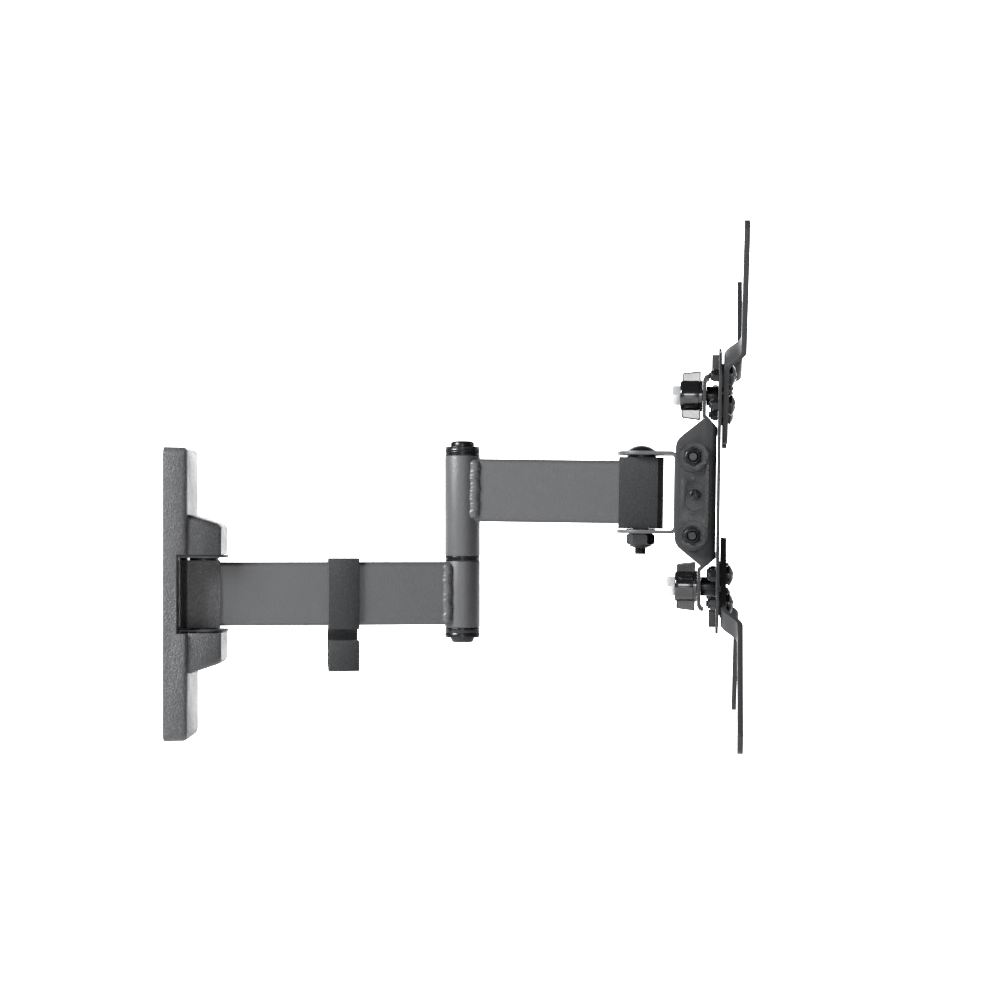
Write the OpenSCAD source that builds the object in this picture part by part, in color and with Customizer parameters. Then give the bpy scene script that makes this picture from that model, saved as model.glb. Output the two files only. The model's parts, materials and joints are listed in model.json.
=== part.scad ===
// Full motion wall mount for a flat television.
// Millimetres. +X points from the wall into the room, +Z is up and the wall's surface is X = 0.
// The origin is the centre of the wall plate's back face.

/* [Wall bracket] */
// Height of the wall cover
cover_h = 256; // [236:1:300]
// Width of the wall cover
cover_w = 76; // [74:1:90]
// Depth of the wall cover
cover_d = 21; // [20:0.5:24]
// Depth of the cover across the band that the arm swings through
band_d = 12.4; // [11:0.1:14]
// Distance of the wall pivot from the wall
pivot_x = 31; // [31:0.5:34]
// Diameter of the two long pivot bolts
pivot_bolt_d = 14; // [12:1:14]

/* [Arms] */
// Distance between the lower arm's pivots
lower_len = 229.5; // [200:0.5:300]
// Distance between the upper arm's pivots
upper_len = 159.7; // [150:0.1:220]
// Height of both arm tubes
arm_h = 56; // [50:1:58]
// Thickness of both arm tubes
arm_t = 24; // [22:0.5:25]
// Height of the upper arm's centre line over the lower arm's
arm_rise = 92.1; // [90:0.1:95]
// Diameter of the elbow's tubes
elbow_d = 31.6; // [30:0.2:34]

/* [Head] */
// Distance of the television plate from the head pivot
plate_x = 67.25; // [67:0.25:72]
// Height of the television plate
plate_h = 250; // [246:1:260]
// Half of the largest hole pattern that the extension arms reach
vesa_half = 200; // [200:1:210]
// Offset of the extension arms' outer stretch
joggle = 14; // [10:0.5:16]
// Largest tilt of the screen's top into the room, in degrees
tilt_down = 12; // [5:1:12]
// Largest tilt of the screen's top towards the wall, in degrees
tilt_up = 5; // [0:1:5]

/* [Pose] */
// Turn of the lower arm from straight out, in degrees
lower_yaw = 7; // [0:0.5:20]
// Turn of the upper arm from straight out, in degrees
upper_yaw = -3; // [-20:0.5:0]
// Turn of the head on the upper arm, in degrees
head_turn = -3.4; // [-10:0.1:0]
// Sag of the upper arm from its elbow tube, in degrees
droop = 0.8; // [0:0.1:1.5]

/* [Hidden] */

$fn = 64;
gap = 0.3;      // clearance between parts that move past each other
fit = 0.05;     // radial clearance of a running fit
through = 400;  // length of a cutter that passes right through

// colours
powder = "#3c3e42";
textured = "#2b2c2e";
moulded = "#1d1e20";
dark_steel = "#26272a";
zinc = "#c9cbce";

// wall bracket
sheet = 2.5;
wall_plate_h = 236;
wall_plate_w = 66;
stud_pitch = 200;
anchor_pitch_y = 44;
anchor_pitch_z = 160;
anchor_d = 9;
flange_r = 21.5;
bracket_in = 31.3;
bracket_out = bracket_in + sheet;
cover_wall = 2.2;
opening_y = 24.5;
opening_z = 61;
band_z = bracket_out + gap;
boss_base_x = cover_d + 0.05;
boss_front_x = 49;
boss_base_z = 69;
boss_front_z = 60.3;
boss_base_y = 33;
boss_front_y = 25;
bolt_r = pivot_bolt_d / 2;
nut_af = 22;
nut_h = 12;

// arms
arm_z = -0.7;
tube_wall = 2.5;
tube_r = 4;
bush_r = 11;
sleeve_t = 28;
sleeve_reach = 20;
sleeve_in = arm_t / 2 + 0.1;
wall_sleeve_h = 59.2;
wall_sleeve_len = 14;
head_sleeve_h = 63.4;
head_sleeve_z = -0.55;
elbow_r = elbow_d / 2;
elbow_bore_r = 13;
pin_r = 8;
elbow_lower_z0 = -30.6;
elbow_lower_z1 = 28.6;
elbow_upper_z0 = 33.1;
elbow_upper_z1 = 122.8;
ring_h = 4;
bottom_ring_h = 9;
bush_len = 18;
pin_head_r = 10.7;
pin_head_h = 5.2;
clip_x = 122.7;
clip_len = 27;
clip_wall = 3;
clip_ridge = 1.6;
hook_z0 = -68.4;
hook_z1 = -41;

// yoke
yoke_sheet = 3.2;
yoke_in = 33.3;
yoke_out = yoke_in + yoke_sheet;
yoke_web_x = 29.4;
yoke_half_y = 21.6;
yoke_flange_r = 21.4;
tilt_x = 48.2;
tilt_z = -2;
tilt_bolt_x = 46.2;
tilt_bolt_zs = [31.2, -38];
tilt_bolt_r = 4;
tilt_screw_r = 3;
dome_r = 13.7;
dome_h = 5.8;

// tilt bracket
ear_sheet = 3;
ear_in = yoke_half_y + 1.2;
ear_out = ear_in + ear_sheet;
ear_x0 = 30.6;
web_x = 63.9;
ear_bend = 5;
flange_x = 53.6;
friction_t = 3.7;
friction_boss_r = 13.5;
friction_boss_y = ear_out + 7.8;
window_z = 52;

// television plate
vesa_z = 1.5;
plate_t = 2.5;
pad_t = 1.45;
pad_r = 10;
arm_bar_t = 4.5;
arm_bar_w = 22;
arm_bar_x = plate_x + plate_t + pad_t;
arm_inner_r = 51.5 * sqrt(2);
arm_outer_r = vesa_half * sqrt(2);
joggle_r0 = 150;
joggle_len = 20;
screw_rs = [72.6 * sqrt(2), 96 * sqrt(2)];
arm_angles = [45, -45, 135, -135];
washer_t = 1.4;
knob_z = 84.7;
knob_rise = 0.4;
knob_bolt_r = 5;
grip_r = 13.9;
grip_len = 19.9;
knob_head_h = 7.1;
lower_foot_out = 2.6; // how much farther out the web's lower foot stands
level_roll = 3;

// ---------- frames ----------

module at_wall_pivot() translate([pivot_x, 0, arm_z]) rotate([0, 0, lower_yaw]) children();

module at_elbow()
    translate([pivot_x + lower_len * cos(lower_yaw), lower_len * sin(lower_yaw), arm_z])
        rotate([0, 0, upper_yaw]) children();

module at_upper() at_elbow() translate([0, 0, arm_rise]) rotate([0, droop, 0]) children();

module at_head() at_upper() translate([upper_len, 0, 0]) rotate([0, 0, head_turn]) children();

module at_tilt_axis() translate([tilt_x, 0, tilt_z]) children();

module at_vesa() at_head() translate([0, 0, vesa_z]) children();

// ---------- helpers ----------

// rounded rectangle round the origin
module rounded(w, h, r) {
    square([w - 2 * r, h], center = true);
    square([w, h - 2 * r], center = true);
    for (x = [-1, 1], y = [-1, 1]) translate([x * (w / 2 - r), y * (h / 2 - r)]) circle(r);
}

// outline drawn in Y and Z, thickened along +X from x
module slab_x(x, t) translate([x, 0, 0]) rotate([90, 0, 90]) linear_extrude(t) children();

// outline drawn in X and Z, thickened along +Y from y
module slab_y(y, t) translate([0, y + t, 0]) rotate([90, 0, 0]) linear_extrude(t) children();

// outline drawn in X and Y, thickened along +Z from z
module slab_z(z, t) translate([0, 0, z]) linear_extrude(t) children();

module ring(z, h, r, bore) translate([0, 0, z]) difference() {
    cylinder(h = h, r = r);
    translate([0, 0, -1]) cylinder(h = h + 2, r = bore);
}

module hexagon(af) circle(r = af / sqrt(3), $fn = 6);

// hexagonal prism along +X with its corners up
module hex_x(x, t, af) slab_x(x, t) rotate(30) hexagon(af);

module rod_x(x0, x1, r) translate([x0, 0, 0]) rotate([0, 90, 0]) cylinder(h = x1 - x0, r = r);

module rod_y(y0, y1, r) translate([0, y0, 0]) rotate([-90, 0, 0]) cylinder(h = y1 - y0, r = r);

// flat U of sheet seen from the side: web on the left, legs to the right
module u_profile(x0, x1, half_in, t, bend) difference() {
    translate([x0 + (x1 - x0), 0]) rounded(2 * (x1 - x0), 2 * (half_in + t), bend + t);
    translate([x0 + t + (x1 - x0), 0]) rounded(2 * (x1 - x0), 2 * half_in, bend);
    translate([x1, -through / 2]) square([through, through]);
}

// arc-shaped slot round the origin, of width 2 r, between two angles
module arc_slot(radius, r, a0, a1) {
    difference() {
        circle(radius + r);
        circle(radius - r);
        rotate(a1) translate([-through, 0]) square([2 * through, through]);
        rotate(a0) translate([-through, -through]) square([2 * through, through]);
    }
    for (a = [a0, a1]) rotate(a) translate([radius, 0]) circle(r);
}

// ---------- wall bracket ----------

module wall_plate() color(powder) difference() {
    slab_x(0, sheet) rounded(wall_plate_w, wall_plate_h, 8);
    for (z = [-1, 1]) translate([-1, 0, z * stud_pitch / 2]) rod_x(0, sheet + 2, anchor_d / 2);
    for (y = [-1, 1], z = [-1, 1])
        translate([-1, y * anchor_pitch_y / 2, z * anchor_pitch_z / 2])
            rod_x(0, sheet + 2, anchor_d / 2);
}

module pivot_bracket() color(powder) difference() {
    intersection() {
        slab_y(-flange_r, 2 * flange_r)
            u_profile(sheet, pivot_x + flange_r, bracket_in, sheet, 2.5);
        slab_z(-through / 2, through) {
            translate([pivot_x, 0]) circle(flange_r);
            translate([sheet, -flange_r]) square([pivot_x - sheet, 2 * flange_r]);
        }
    }
    translate([pivot_x, 0, -through / 2]) cylinder(h = through, r = bolt_r + fit);
}

// closed rounded box of the cover, shrunk by inset on every side but the wall's
module cover_body(inset) {
    w = cover_w - 2 * inset;
    h = cover_h - 2 * inset;
    d = cover_d - inset;
    hull() {
        slab_x(0, 1) rounded(w, h, 8 - inset);
        slab_x(0, d - 4) rounded(w - 0.8, h - 0.8, 8 - inset);
        slab_x(0, d - 1.2) rounded(w - 3, h - 3, 7 - inset);
        slab_x(0, d) rounded(w - 8, h - 8, 5 - inset);
    }
}

module wall_cover() color(textured) difference() {
    union() {
        difference() {
            cover_body(0);
            translate([-0.01, 0, 0]) cover_body(cover_wall);
            translate([band_d, -cover_w, -band_z]) cube([cover_d, 2 * cover_w, 2 * band_z]);
        }
        // floor of the band, and the two steps that close it
        intersection() {
            cover_body(cover_wall / 2);
            union() {
                translate([band_d - cover_wall, -cover_w, -band_z - cover_wall])
                    cube([cover_wall, 2 * cover_w, 2 * (band_z + cover_wall)]);
                for (z = [-band_z - cover_wall, band_z])
                    translate([band_d - cover_wall, -cover_w, z])
                        cube([cover_d, 2 * cover_w, cover_wall]);
            }
        }
    }
    translate([-1, -opening_y, -opening_z]) cube([cover_d + 2, 2 * opening_y, 2 * opening_z]);
}

// tapered block of the upper pivot cover, shrunk by inset
module boss(inset) {
    low = band_z - (inset > 0 ? 1 : 0);
    hull() {
        translate([boss_base_x, 0, 0])
            boss_slab(2, boss_base_y - inset, low, boss_base_z - inset);
        translate([boss_front_x - inset - 4, 0, 0])
            boss_slab(1, boss_front_y + 1.1 - inset, low, boss_front_z + 1.2 - inset);
        translate([boss_front_x - inset - 1, 0, 0])
            boss_slab(1, boss_front_y - 1.6 - inset, low, boss_front_z - 1.8 - inset);
    }
}

// slab with its two top corners rounded
module boss_slab(t, half_y, z0, z1) slab_x(0, t) intersection() {
    translate([0, z1 - 50]) rounded(2 * half_y, 100, 6);
    translate([-half_y, z0]) square([2 * half_y, z1 - z0]);
}

module pivot_cover() color(textured) {
    difference() {
        boss(0);
        translate([-0.01, 0, 0]) boss(2.2);
    }
    for (s = [-1, 1])
        translate([cover_d - 6, s * 22.6 - 1.2, 48]) cube([boss_base_x - cover_d + 7, 2.4, 8]);
    for (s = [-1, 1])
        translate([boss_base_x, s * 22.6 - 1.2, 48]) cube([2, 2.4, 8]);
    // web that ties the snap tabs to the shell
    for (s = [-1, 1])
        translate([boss_base_x, min(s * 21.4, s * 32), 48]) cube([2, 10.6, 8]);
}

module pivot_cover_upper() pivot_cover();

module pivot_cover_lower() mirror([0, 0, 1]) pivot_cover();

module long_bolt(z0, z1, head_r, head_h) {
    translate([0, 0, z0]) cylinder(h = z1 - z0, r = bolt_r);
    translate([0, 0, z1]) cylinder(h = head_h, r = head_r);
}

module hex_nut(z, h, af, bore) slab_z(z, h) difference() {
    hexagon(af);
    circle(bore);
}

module wall_pivot_bolt() color(zinc) translate([pivot_x, 0, 0])
    long_bolt(-bracket_out - nut_h - 3, bracket_out, 12.5, 5);

module wall_pivot_nut() color(zinc) translate([pivot_x, 0, 0])
    hex_nut(-bracket_out - nut_h, nut_h, nut_af, bolt_r + 0.02);

module wall_pivot_washers() color(moulded) translate([pivot_x, 0, 0]) {
    low = arm_z - wall_sleeve_h / 2;
    high = arm_z + wall_sleeve_h / 2;
    ring(-bracket_in, low + bracket_in - 0.1, 13, bolt_r + 0.1);
    ring(high + 0.1, bracket_in - high - 0.1, 13, bolt_r + 0.1);
}

// ---------- arms ----------

// rectangular tube along +X between x0 and x1
module arm_tube(x0, x1) slab_x(x0, x1 - x0) difference() {
    rounded(arm_t, arm_h, tube_r);
    rounded(arm_t - 2 * tube_wall, arm_h - 2 * tube_wall, tube_r - tube_wall);
}

// plan of a pivot sleeve: flat sides, and an end that is round about the pivot
module sleeve_plan(reach, len, t) intersection() {
    union() {
        circle(reach, $fn = 96);
        translate([0, -reach]) square([len, 2 * reach]);
    }
    translate([-reach, -t / 2]) square([reach + len, t]);
}

// plastic sleeve over an arm's end, which runs from the pivot along +X
module sleeve(h, len) difference() {
    slab_z(-h / 2, h) sleeve_plan(sleeve_reach, len, sleeve_t);
    slab_x(0, through) rounded(2 * sleeve_in, arm_h + 0.2, tube_r);
    slab_z(-arm_h / 2 - 0.1, arm_h + 0.2) circle(sleeve_in);
    translate([0, 0, -h]) cylinder(h = 2 * h, r = bolt_r + 0.3);
}

// steel bush welded into an arm's end, which the pivot bolt runs in
module pivot_bush() ring(-arm_h / 2, arm_h, bush_r, bolt_r + fit);

module lower_arm_tube() color(powder) difference() {
    at_wall_pivot() arm_tube(0, lower_len);
    at_wall_pivot() cylinder(h = through, r = bush_r + 0.01, center = true);
    at_elbow() cylinder(h = through, r = elbow_r + 0.01, center = true);
}

module lower_arm_bush() color(dark_steel) at_wall_pivot() pivot_bush();

module lower_arm_sleeve() color(textured) at_wall_pivot()
    sleeve(wall_sleeve_h, wall_sleeve_len);

module elbow_lower_tube() color(powder) at_elbow()
    ring(elbow_lower_z0, elbow_lower_z1 - elbow_lower_z0, elbow_r, elbow_bore_r);

module elbow_lower_bushes() color(moulded) at_elbow() {
    ring(elbow_lower_z1 - bush_len, bush_len, elbow_bore_r - 0.01, pin_r + 0.01);
    ring(elbow_lower_z0, bush_len, elbow_bore_r - 0.01, pin_r + 0.01);
}

module elbow_pin() color(dark_steel) at_elbow() {
    z0 = elbow_lower_z0 - bottom_ring_h;
    translate([0, 0, z0]) cylinder(h = elbow_upper_z1 + 2 * ring_h - z0, r = pin_r);
    translate([0, 0, z0 - 4.4]) cylinder(h = 3.2, r1 = pin_head_r - 1.4, r2 = pin_head_r);
    translate([0, 0, z0 - 1.2]) cylinder(h = 1.2, r = pin_head_r);
}

module elbow_pin_cap() color(dark_steel) at_elbow() translate([0, 0, elbow_upper_z1 + 2 * ring_h]) {
    cylinder(h = 3.4, r = pin_head_r);
    translate([0, 0, 3.4]) cylinder(h = pin_head_h - 3.4, r1 = pin_head_r, r2 = pin_head_r - 2);
}

module elbow_bottom_ring() color(dark_steel) at_elbow()
    ring(elbow_lower_z0 - bottom_ring_h, bottom_ring_h, elbow_r, pin_r + 0.02);

module upper_arm_tube() color(powder) difference() {
    at_upper() arm_tube(0, upper_len);
    at_elbow() cylinder(h = through, r = elbow_r + 0.01, center = true);
    at_upper() translate([upper_len, 0, 0])
        cylinder(h = through, r = bush_r + 0.01, center = true);
}

module upper_arm_bush() color(dark_steel) at_upper() translate([upper_len, 0, 0]) pivot_bush();

module upper_arm_sleeve() color(textured) at_upper()
    translate([upper_len, 0, head_sleeve_z]) mirror([1, 0, 0]) difference() {
        slab_z(-head_sleeve_h / 2, head_sleeve_h)
            sleeve_plan(sleeve_reach, sleeve_reach, sleeve_t);
        translate([0, 0, -head_sleeve_z]) {
            slab_x(0, through) rounded(2 * sleeve_in, arm_h + 0.2, tube_r);
            slab_z(-arm_h / 2 - 0.1, arm_h + 0.2) circle(sleeve_in);
        }
        translate([0, 0, -head_sleeve_h]) cylinder(h = 2 * head_sleeve_h, r = bolt_r + 0.3);
    }

module elbow_upper_tube() color(powder) at_elbow()
    ring(elbow_upper_z0, elbow_upper_z1 - elbow_upper_z0, elbow_r, elbow_bore_r);

module elbow_upper_bushes() color(moulded) at_elbow() {
    ring(elbow_upper_z0, bush_len, elbow_bore_r - 0.01, pin_r + fit);
    ring(elbow_lower_z1 + 0.1, elbow_upper_z0 - elbow_lower_z1 - 0.1, elbow_r, pin_r + fit);
    ring(elbow_upper_z1 - bush_len, bush_len, elbow_bore_r - 0.01, pin_r + fit);
    ring(elbow_upper_z1, ring_h, elbow_r, pin_r + fit);
}

module elbow_thrust_washer() color(dark_steel) at_elbow()
    ring(elbow_upper_z1 + ring_h + 0.1, ring_h - 0.1, elbow_r, pin_r + 0.02);

// outline of the clip's ridged side, seen from above: len long, y0 to y1 deep
module ridged(y0, y1) polygon([
    [-clip_len / 2, y1], [clip_len / 2, y1], [clip_len / 2, y0],
    [1.5, y0 - clip_ridge], [-clip_len / 2, y0]
]);

module cable_clip() color(textured) at_wall_pivot() translate([clip_x, 0, 0]) {
    in_y = arm_t / 2 + gap;
    in_z = arm_h / 2 + gap;
    out_y = in_y + clip_wall;
    difference() {
        union() {
            // band round the tube
            slab_z(-in_z - clip_wall, 2 * (in_z + clip_wall)) ridged(-out_y, out_y);
            // hook below it
            slab_z(hook_z0, -in_z - hook_z0) ridged(-out_y, out_y);
        }
        slab_x(-through / 2, through) rounded(2 * in_y, 2 * in_z, tube_r);
        slab_x(-through / 2, through) translate([0, (hook_z0 + clip_wall - in_z - clip_wall) / 2])
            rounded(2 * in_y - 1, -in_z - hook_z0 - 2 * clip_wall, 5);
        // slit through which a cable is pushed in, open to the near side
        translate([-clip_len, -out_y - clip_ridge - 1, hook_z1])
            cube([2 * clip_len, out_y + clip_ridge + 1 - in_y + 10, -in_z - clip_wall - hook_z1]);
    }
}

// ---------- yoke ----------

function turned(x, z) = atan2(z - tilt_z, x - tilt_x);

// one bolt's slot in the yoke's ears, over the whole tilt
module tilt_slot(z) {
    radius = norm([tilt_bolt_x - tilt_x, z - tilt_z]);
    angle = turned(tilt_bolt_x, z);
    translate([tilt_x, tilt_z])
        arc_slot(radius, tilt_bolt_r + 0.3, angle - tilt_down - 0.5, angle + tilt_up + 0.5);
}

module yoke_ear_outline() polygon([
    [yoke_web_x + 1, -30], [yoke_web_x + 1, 30], [36, 42.5], [58, 42.5], [61.5, 36], [58, 18],
    [58, -28], [57, -41], [52, -47], [37, -47], [yoke_web_x + 1, -40]
]);

module yoke() color(powder) difference() {
    union() {
        intersection() {
            slab_y(-through / 2, through)
                translate([yoke_web_x + yoke_sheet, 0]) mirror([1, 0])
                    u_profile(0, yoke_web_x + yoke_sheet + yoke_flange_r + 1, yoke_in, yoke_sheet, 3);
            slab_z(-through / 2, through) {
                circle(yoke_flange_r);
                translate([0, -yoke_flange_r]) square([through, 2 * yoke_flange_r]);
            }
        }
        for (y = [-yoke_half_y, yoke_half_y - yoke_sheet]) slab_y(y, yoke_sheet) yoke_ear_outline();
    }
    translate([0, 0, -through / 2]) cylinder(h = through, r = bolt_r + fit);
    at_tilt_axis() rod_y(-through / 2, through / 2, tilt_screw_r + fit);
    for (z = tilt_bolt_zs) slab_y(-through / 2, through) tilt_slot(z);
}

module yoke_bolt() color(dark_steel) {
    end = -yoke_out - nut_h;
    translate([0, 0, end - 1]) cylinder(h = yoke_out - end + 1, r = bolt_r);
    translate([0, 0, end - 6.5]) cylinder(h = 5.5, r = 5.5);
    // low dome, part of a sphere
    dome_sphere = (dome_r * dome_r + dome_h * dome_h) / (2 * dome_h);
    translate([0, 0, yoke_out + dome_h - dome_sphere]) intersection() {
        sphere(dome_sphere, $fn = 96);
        translate([0, 0, dome_sphere - dome_h]) cylinder(h = dome_h + 1, r = dome_r + 1);
    }
}

module yoke_nut() color(dark_steel) rotate(30)
    hex_nut(-yoke_out - nut_h, nut_h, nut_af, bolt_r + 0.02);

module yoke_washers() color(moulded) {
    low = head_sleeve_z - head_sleeve_h / 2;
    high = head_sleeve_z + head_sleeve_h / 2;
    ring(-yoke_in, low + yoke_in - 0.1, 13, bolt_r + 0.1);
    ring(high + 0.1, yoke_in - high - 0.1, 13, bolt_r + 0.1);
}

// ---------- tilt head ----------

module tilt_ear_outline() {
    half = [
        [ear_x0, 40.5], [ear_x0 + 0.7, 44], [ear_x0 + 2.8, 47.6], [ear_x0 + 6, 50.6], [54, 64.6],
        [57, 65.2], [60.5, 63.2], [web_x + 2.9, 57]
    ];
    polygon(concat(half, [for (i = [len(half) - 1:-1:0]) [half[i][0], -half[i][1]]]));
}

// side view of one half of the web, from the window's edge to the curled end, with its foot at x
module web_profile(x) polygon([
    [web_x, 48], [web_x, 56], [x, 67], [x, 99], [x + 1.5, 102.5], [x + 5, 104.5], [x + 6, 102],
    [x + 4, 101], [x + 3, 98.5], [x + 3, 68.5], [web_x + 3, 57.3], [web_x + 3, 48]
]);

module tilt_bracket() color(powder) difference() {
    union() {
        for (y = [-ear_out, ear_in]) slab_y(y, ear_sheet) tilt_ear_outline();
        for (m = [0, 1]) mirror([0, 0, m])
            slab_y(-ear_out, 2 * ear_out) web_profile(flange_x - m * lower_foot_out);
    }
    // rounds the bends between the web and the ears
    slab_z(-through / 2, through) difference() {
        translate([web_x - 3, -through / 2]) square([through, through]);
        rounded(2 * (web_x + 3), 2 * ear_out, ear_bend);
    }
    slab_x(0, through) square([2 * ear_in, 2 * window_z], center = true);
    at_tilt_axis() rod_y(-through / 2, through / 2, tilt_screw_r + 0.1);
    for (z = tilt_bolt_zs) translate([tilt_bolt_x, 0, z])
        rod_y(-through / 2, through / 2, tilt_bolt_r + 0.1);
    // the knob bolts' slots allow the plate to roll level
    for (m = [-1, 1]) translate([0, 0, vesa_z + knob_rise + m * knob_z]) {
        reach = knob_z * sin(level_roll);
        for (y = [-reach, reach]) translate([0, y, 0]) rod_x(0, through, knob_bolt_r + 0.4);
        translate([0, -reach, -knob_bolt_r - 0.4]) cube([through, 2 * reach, 2 * knob_bolt_r + 0.8]);
    }
}

// friction plate of the near side; the far one mirrors it
module friction_plate() difference() {
    union() {
        slab_y(-ear_out - friction_t, friction_t) translate([47.1, -3.4])
            square([25.6, 69.2], center = true);
        for (z = tilt_bolt_zs) translate([tilt_bolt_x, 0, z])
            rod_y(-friction_boss_y, -ear_out, friction_boss_r);
    }
    slab_y(-ear_out - friction_t - 1, 3) translate([47.3, -3.1]) {
        square([15, 10.4], center = true);
        for (z = [-5.2, 5.2]) translate([0, z]) circle(7.5);
    }
    at_tilt_axis() rod_y(-through, 0, tilt_screw_r + 0.1);
    for (z = tilt_bolt_zs) translate([tilt_bolt_x, 0, z]) rod_y(-through, 0, tilt_bolt_r + 0.1);
    translate([tilt_bolt_x, 0, tilt_bolt_zs[0]]) slab_y(-friction_boss_y - 1, 6.5)
        rotate(30) hexagon(15.6);
    translate([tilt_bolt_x, 0, tilt_bolt_zs[1]]) slab_y(-friction_boss_y - 1, 6.5)
        for (a = [0, 30]) rotate(a) hexagon(15.6);
}

module friction_plate_near() color(moulded) friction_plate();

module friction_plate_far() color(moulded) mirror([0, 1, 0]) friction_plate();

module tilt_bolts() color(dark_steel) for (z = tilt_bolt_zs) translate([tilt_bolt_x, 0, z]) {
    seat = friction_boss_y - 5.5;
    rod_y(-friction_boss_y - 1, seat, tilt_bolt_r);
    slab_y(seat, 5.3) rotate(30) hexagon(13);
}

module tilt_nuts() color(dark_steel) for (z = tilt_bolt_zs) translate([tilt_bolt_x, 0, z])
    difference() {
        union() {
            slab_y(-friction_boss_y + 0.8, 4.7) rotate(30) hexagon(13);
            rod_y(-friction_boss_y - 0.5, -friction_boss_y + 0.8, 6.2);
        }
        rod_y(-through, 0, tilt_bolt_r + 0.02);
    }

module tilt_washers() color(moulded) for (z = tilt_bolt_zs) translate([tilt_bolt_x, 0, z])
    for (y = [-ear_in, yoke_half_y + 0.1]) difference() {
        rod_y(y, y + ear_in - yoke_half_y - 0.1, 9);
        rod_y(-through, through, tilt_bolt_r + 0.1);
    }

module tilt_axis_screws() color(zinc) at_tilt_axis() for (m = [0, 1]) mirror([0, m, 0]) {
    seat = ear_out + friction_t - 2;
    rod_y(-seat, -12.5, tilt_screw_r);
    rod_y(-seat - 1.8, -seat, 4.7);
}

module tilt_axis_nuts() color(zinc) at_tilt_axis() for (m = [0, 1]) mirror([0, m, 0])
    slab_y(-yoke_half_y + yoke_sheet + 0.2, 5) difference() {
        hexagon(10);
        circle(tilt_screw_r + 0.02);
    }

// ---------- television plate ----------

module plate_outline() {
    rounded(126, 126, 10);
    rounded(64, plate_h, 8);
    for (a = [45, -45]) rotate(a) rounded(304, 38, 12);
}

module vesa_plate() color(powder) difference() {
    union() {
        slab_x(plate_x, plate_t) plate_outline();
        for (a = arm_angles, r = screw_rs) rotate([a, 0, 0]) translate([0, 0, r])
            rod_x(plate_x + plate_t, arm_bar_x, pad_r);
    }
    for (a = arm_angles, r = screw_rs) rotate([a, 0, 0]) translate([0, 0, r])
        rod_x(0, through, 3.2);
    for (half = [37.5, 50], y = [-half, half], z = [-half, half]) translate([0, y, z])
        rod_x(0, through, 2.75);
    // oblong weight-saving openings
    for (z = [-104, 104]) slab_x(0, through) translate([0, z]) rounded(26, 10, 4.5);
    slab_x(0, through) rounded(46, 46, 12);
}

// lips that stiffen the plate's top and bottom edges
module plate_lips() color(powder) for (y = [-32, 29.5], z = [-119, 106])
    translate([plate_x - 6, y, z]) cube([6, 2.5, 13]);

// rise of the joggle at a share s of its length
function eased(s) = joggle * (1 - cos(180 * s)) / 2;

// one extension arm along +Z, bent outwards by the joggle
module arm_bar() difference() {
    steps = 10;
    inner = [for (i = [0:steps]) [eased(i / steps), joggle_r0 + joggle_len * i / steps]];
    far = arm_outer_r + arm_bar_w;
    near_side = concat([[0, 0]], inner, [[joggle, far]]);
    far_side = [for (i = [len(near_side) - 1:-1:0]) near_side[i] + [arm_bar_t, 0]];
    intersection() {
        slab_y(-arm_bar_w / 2, arm_bar_w) translate([arm_bar_x, 0])
            polygon(concat(near_side, far_side));
        slab_x(0, through) {
            for (r = [arm_inner_r, arm_outer_r]) translate([0, r]) circle(arm_bar_w / 2);
            translate([-arm_bar_w / 2, arm_inner_r])
                square([arm_bar_w, arm_outer_r - arm_inner_r]);
        }
    }
    for (r = screw_rs) translate([0, 0, r]) rod_x(0, through, 3.2);
    translate([0, 0, arm_outer_r]) rod_x(0, through, 4.25);
    slab_x(0, through) {
        for (r = [186, 261]) translate([0, r]) circle(4.25);
        translate([-4.25, 186]) square([8.5, 75]);
    }
}

module vesa_arm_upper_near() color(powder) rotate([arm_angles[0], 0, 0]) arm_bar();

module vesa_arm_upper_far() color(powder) rotate([arm_angles[1], 0, 0]) arm_bar();

module vesa_arm_lower_near() color(powder) rotate([arm_angles[2], 0, 0]) arm_bar();

module vesa_arm_lower_far() color(powder) rotate([arm_angles[3], 0, 0]) arm_bar();

module at_arm_screws() for (a = arm_angles, r = screw_rs)
    rotate([a, 0, 0]) translate([0, 0, r]) children();

module arm_screws() color(dark_steel) at_arm_screws() {
    seat = arm_bar_x + arm_bar_t + washer_t;
    rod_x(plate_x - 8.4, seat, 3);
    rod_x(seat, seat + 1.6, 8.9);
    translate([seat + 1.6, 0, 0]) rotate([0, 90, 0]) cylinder(h = 3.4, r1 = 8.9, r2 = 4.6);
}

module arm_washers() color(dark_steel) at_arm_screws() difference() {
    rod_x(arm_bar_x + arm_bar_t, arm_bar_x + arm_bar_t + washer_t, 8);
    rod_x(0, through, 3.1);
}

module arm_nuts() color(dark_steel) at_arm_screws() difference() {
    union() {
        hex_x(plate_x - 5, 5, 10);
        rod_x(plate_x - 7, plate_x - 5, 4.6);
    }
    rod_x(0, through, 3.02);
}

module at_knob(side) translate([0, 0, knob_rise + side * knob_z]) children();

module knob_spacers() color(dark_steel) for (s = [-1, 1]) at_knob(s) difference() {
    rod_x(flange_x + 3.15 - (s < 0 ? lower_foot_out : 0), plate_x, 8.5);
    rod_x(0, plate_x - 0.6, knob_bolt_r + fit);
}

module grip() difference() {
    end = flange_x - 0.2;
    union() {
        rod_x(end - grip_len, end, grip_r);
        translate([end - 18.3, -3.6, -21.8]) cube([16.6, 7.2, 43.6]);
    }
    rod_x(0, through, knob_bolt_r + 0.02);
}

module knob_bolt() {
    seat = flange_x - 0.2 - grip_len;
    rod_x(seat, plate_x - 1.2, knob_bolt_r);
    slab_x(seat - knob_head_h, knob_head_h) hexagon(17);
}

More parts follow.
